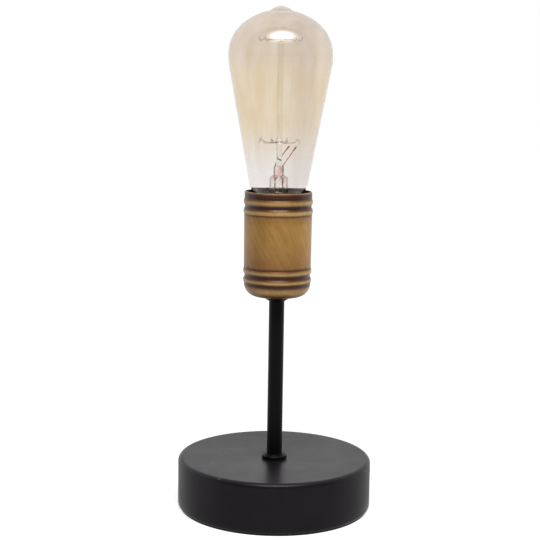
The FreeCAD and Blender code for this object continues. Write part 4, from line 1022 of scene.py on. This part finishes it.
@dataclass
class Bulb:
    """The screw-in bulb: metal cap, amber glass and the mount inside.

    Heights are in millimetres above the floor. The glass is clear at its neck, honey at its
    middle and amber at its crown, whose height comes from the frame. The press is where the
    mount's glass is sealed round the wires.
    """

    foot: float = 185.0
    clear_end: float = 210.0
    honey_start: float = 240.0
    honey_end: float = 264.0
    amber_start: float = 290.0
    crown: float = CAD_BOX[1][2] / MM
    rod_top: float = 300.0
    press_fade: float = 205.0
    press_start: float = 208.5
    press_end: float = 212.0
    press_top: float = 213.0
    amber: Colour = (0.84, 0.775, 0.7)
    honey: Colour = (0.875, 0.8, 0.66)
    clear: Colour = (0.9, 0.89, 0.885)
    plain: Colour = (0.94, 0.955, 0.935)
    press: Colour = (0.74, 0.42, 0.36)

    def dress(self) -> None:
        """Give every piece of the bulb its finish."""
        self.dress_glass()
        self.dress_cap()
        self.dress_wires()

    def dress_glass(self) -> None:
        """Give the envelope, the support rod and the sealed mount their glass."""
        envelope = ((self.foot, self.clear), (self.clear_end, self.clear),
                    (self.honey_start, self.honey), (self.honey_end, self.honey),
                    (self.amber_start, self.amber), (self.crown, self.amber))
        rod = ((self.foot, self.plain), (self.rod_top, self.plain))
        flare = ((self.foot, self.plain), (self.press_fade, self.plain),
                 (self.press_start, self.press), (self.press_end, self.press),
                 (self.press_top, self.plain))
        # The amber glass carries painted shade on its right side.
        dress(BlownGlass("amber_glass", tints=envelope, edge=(0.987, 0.981, 0.977), ripple=0.05,
                         mottle=0.28, mottle_scale=110.0, right_painted_shade=0.25), "glass_envelope")
        dress(BlownGlass("rod_glass", tints=rod, edge=(0.98, 0.983, 0.98), ripple=0.15,
                         mottle=0.3, mottle_scale=200.0, roughness=0.02), "support_rod")
        dress(BlownGlass("flare_glass", tints=flare, edge=(0.991, 0.974, 0.968), ripple=0.5,
                         mottle=0.9, mottle_scale=620.0, roughness=0.02), "stem_flare")

    def dress_cap(self) -> None:
        """Give the cap, its contact, its insulator and the cement their finishes."""
        dress(PlainMetal("rolled_cap", colour=(0.66, 0.65, 0.62), tarnish=(0.4, 0.37, 0.32),
                         roughness=0.3, wear=0.6, lines=(1.0, 1.0, 0.2)),
              "bulb_cap", "bulb_contact")
        dress(Moulded("black_glass", colour=(0.01, 0.01, 0.012), roughness=0.15, texture=0.02),
              "cap_insulator")
        dress(Moulded("cement", colour=(0.3, 0.27, 0.23), roughness=0.85, texture=0.6),
              "cap_cement")

    def dress_wires(self) -> None:
        """Give the filament, its hooks and the lead-in wires their metals."""
        dress(PlainMetal("filament_wire", colour=(0.98, 0.95, 0.9), tarnish=(0.9, 0.85, 0.78),
                         roughness=0.15, wear=0.5), "filament")
        dress(PlainMetal("support_wire", colour=(0.42, 0.41, 0.38), tarnish=(0.2, 0.18, 0.16),
                         roughness=0.5, wear=0.6), "upper_hooks", "lower_hooks")
        dress(PlainMetal("copper_clad", colour=(0.3, 0.12, 0.08), tarnish=(0.12, 0.05, 0.035),
                         roughness=0.4, wear=0.8), "lead_in_wires")


# ---------------------------------------------------------------- stage, light and camera


@dataclass(frozen=True)
class SoftOval:
    """One of the nested oval lights that make the softbox, which is brightest in its middle.

    Attributes:
        name: Name of the light.
        lift: How far it hangs above the lowest one, in metres.
        size: Its two diameters, in metres.
        power: Its power, in watts.
    """

    name: str
    lift: float
    size: tuple[float, float]
    power: float


@dataclass
class Studio:
    """White floor and backdrop, one large soft light and the camera of the photograph.

    Lengths are in metres, apart from the lens and its sensor in millimetres. Angles are in
    degrees, and levels are shares of white.

    Attributes:
        floor_glow: Floor's own level by the distance from the lamp.
        mirrored_near: Part of it that mirror rays meet just past the foot of the base.
        mirrored_far: Part of it that they meet further off, behind the front strip.
        past_front: Places along Y over which the front strip ends.
        mirrored_front: Level of the surroundings in mirror rays, by how far they run back.
        ambient: Level of the surroundings that only lights the lamp.
        softbox: The oval lights, from the lowest and widest up.
    """

    floor_size: float = 8.0
    floor_albedo: float = 0.5
    floor_glow: Span = Span(0.1, 0.9, 0.68, 0.86)
    mirrored_near: Span = Span(0.064, 0.07, 0.7, 0.28)
    mirrored_far: Span = Span(0.15, 0.4, 0.0, 0.72)
    past_front: Span = Span(-0.1, -0.07)
    mirrored_front: Span = Span(-0.25, -0.05, 0.12, 1.0)
    ambient: float = 0.3
    softbox_place: Triple = (0.05, -0.62, 1.05)
    softbox_aim: Triple = (0.0, 0.0, 0.2)
    softbox: tuple[SoftOval, ...] = (SoftOval("key_rim", 0.0, (1.2, 0.75), 4.6),
                                     SoftOval("key_field", 0.03, (0.95, 0.55), 5.0),
                                     SoftOval("key_core", 0.06, (0.72, 0.38), 4.4))
    camera_side: float = -0.0004
    camera_distance: float = 0.7968
    camera_height: float = 0.2660
    pitch: float = 8.36
    yaw: float = -0.29
    roll: float = 0.88
    lens: float = 87.5
    sensor: float = 36.0
    nearest_seen: float = 0.01

    def build(self) -> None:
        """Make everything round the lamp."""
        self.make_floor()
        self.make_world()
        for oval in self.softbox:
            self.make_light(oval)
        self.make_camera()

    def seen_level(self, sheet: Sheet, mirrored: Any, unseen: float) -> Any:
        """Give the level of the surroundings for each kind of ray.

        Args:
            sheet: Sheet of the world or the floor.
            mirrored: Level that mirror rays meet.
            unseen: Level that only lights the lamp.

        Returns:
            Socket that is 1 for camera and glass rays.
        """
        path = sheet.add("ShaderNodeLightPath").outputs
        gain = sheet.math("MULTIPLY", path["Is Glossy Ray"],
                          sheet.math("SUBTRACT", mirrored, unseen))
        seen = sheet.math("MAXIMUM", path["Is Camera Ray"], path["Is Transmission Ray"])
        return sheet.math("MAXIMUM", seen, sheet.math("ADD", gain, unseen))

    def make_floor(self) -> None:
        """Lay the white floor, which keeps the lamp's shadow."""
        bpy.ops.object.select_all(action="DESELECT")
        bpy.ops.mesh.primitive_plane_add(size=self.floor_size)
        floor = bpy.context.object
        floor.name = "floor"
        material = bpy.data.materials.new("white_floor")
        material.use_nodes = True
        sheet = Sheet(material.node_tree)
        place = sheet.object_place()
        away = sheet.add("ShaderNodeVectorMath", operation="LENGTH")
        sheet.feed(away, 0, place)
        distance = away.outputs["Value"]
        behind = sheet.math("MULTIPLY", sheet.span(distance, self.mirrored_far),
                            sheet.span(sheet.axes(place)["Y"], self.past_front))
        mirrored = sheet.math("ADD", sheet.span(distance, self.mirrored_near), behind)
        sheet.feed_all(material.node_tree.nodes["Principled BSDF"], {
            "Base Color": (self.floor_albedo,) * 3,
            "Roughness": 1.0,
            "Specular IOR Level": 0.0,
            "Emission Color": WHITE,
            "Emission Strength": sheet.math("MULTIPLY",
                                            self.seen_level(sheet, mirrored, unseen=0.0),
                                            sheet.span(distance, self.floor_glow))})
        floor.data.materials.append(material)
        LOG.info("floor laid")

    def make_world(self) -> None:
        """Surround the lamp with white, darker towards the front in mirror reflections."""
        world = bpy.data.worlds.new("surroundings")
        world.use_nodes = True
        bpy.context.scene.world = world
        sheet = Sheet(world.node_tree)
        direction = sheet.axes(sheet.add("ShaderNodeTexCoord").outputs["Generated"])
        mirrored = sheet.span(direction["Y"], self.mirrored_front)
        sheet.feed_all(world.node_tree.nodes["Background"], {
            "Color": WHITE, "Strength": self.seen_level(sheet, mirrored, self.ambient)})
        LOG.info("surroundings set")

    def make_light(self, oval: SoftOval) -> None:
        """Hang one soft oval light above the front.

        Args:
            oval: The light's name, lift, size and power.
        """
        data = bpy.data.lights.new(oval.name, "AREA")
        data.shape = "ELLIPSE"
        data.size, data.size_y = oval.size
        data.energy = oval.power
        light = bpy.data.objects.new(oval.name, data)
        bpy.context.scene.collection.objects.link(light)
        across, along, height = self.softbox_place
        light.location = (across, along, height + oval.lift)
        facing = Vector(self.softbox_aim) - light.location
        light.rotation_euler = facing.to_track_quat("-Z", "Y").to_euler()
        light.visible_camera = False
        LOG.info("%s hung", oval.name)

    def make_camera(self) -> None:
        """Set up the camera as the photograph was taken."""
        yaw = math.radians(self.yaw)
        pitch = math.radians(self.pitch)
        right = Vector((math.cos(yaw), -math.sin(yaw), 0.0))
        ahead = Vector((math.sin(yaw) * math.cos(pitch), math.cos(yaw) * math.cos(pitch),
                        -math.sin(pitch)))
        upward = right.cross(ahead)
        turn = Matrix((right, upward, -ahead)).transposed().to_4x4()
        place = Matrix.Translation((self.camera_side, -self.camera_distance, self.camera_height))
        data = bpy.data.cameras.new("camera")
        data.lens = self.lens
        data.sensor_width = self.sensor
        data.clip_start = self.nearest_seen
        camera = bpy.data.objects.new("camera", data)
        bpy.context.scene.collection.objects.link(camera)
        camera.matrix_world = place @ turn @ Matrix.Rotation(math.radians(self.roll), 4, "Z")
        bpy.context.scene.camera = camera
        LOG.info("camera set up")


def main() -> None:
    """Dress the lamp, light it and set up the camera."""
    for part in (WeightedBase(), Stem(), SocketCover(), Lampholder(), Bulb()):
        part.dress()
    Studio().build()
    bpy.context.scene.view_settings.view_transform = "Standard"
    bpy.context.view_layer.update()


if __name__ == "__main__":
    main()
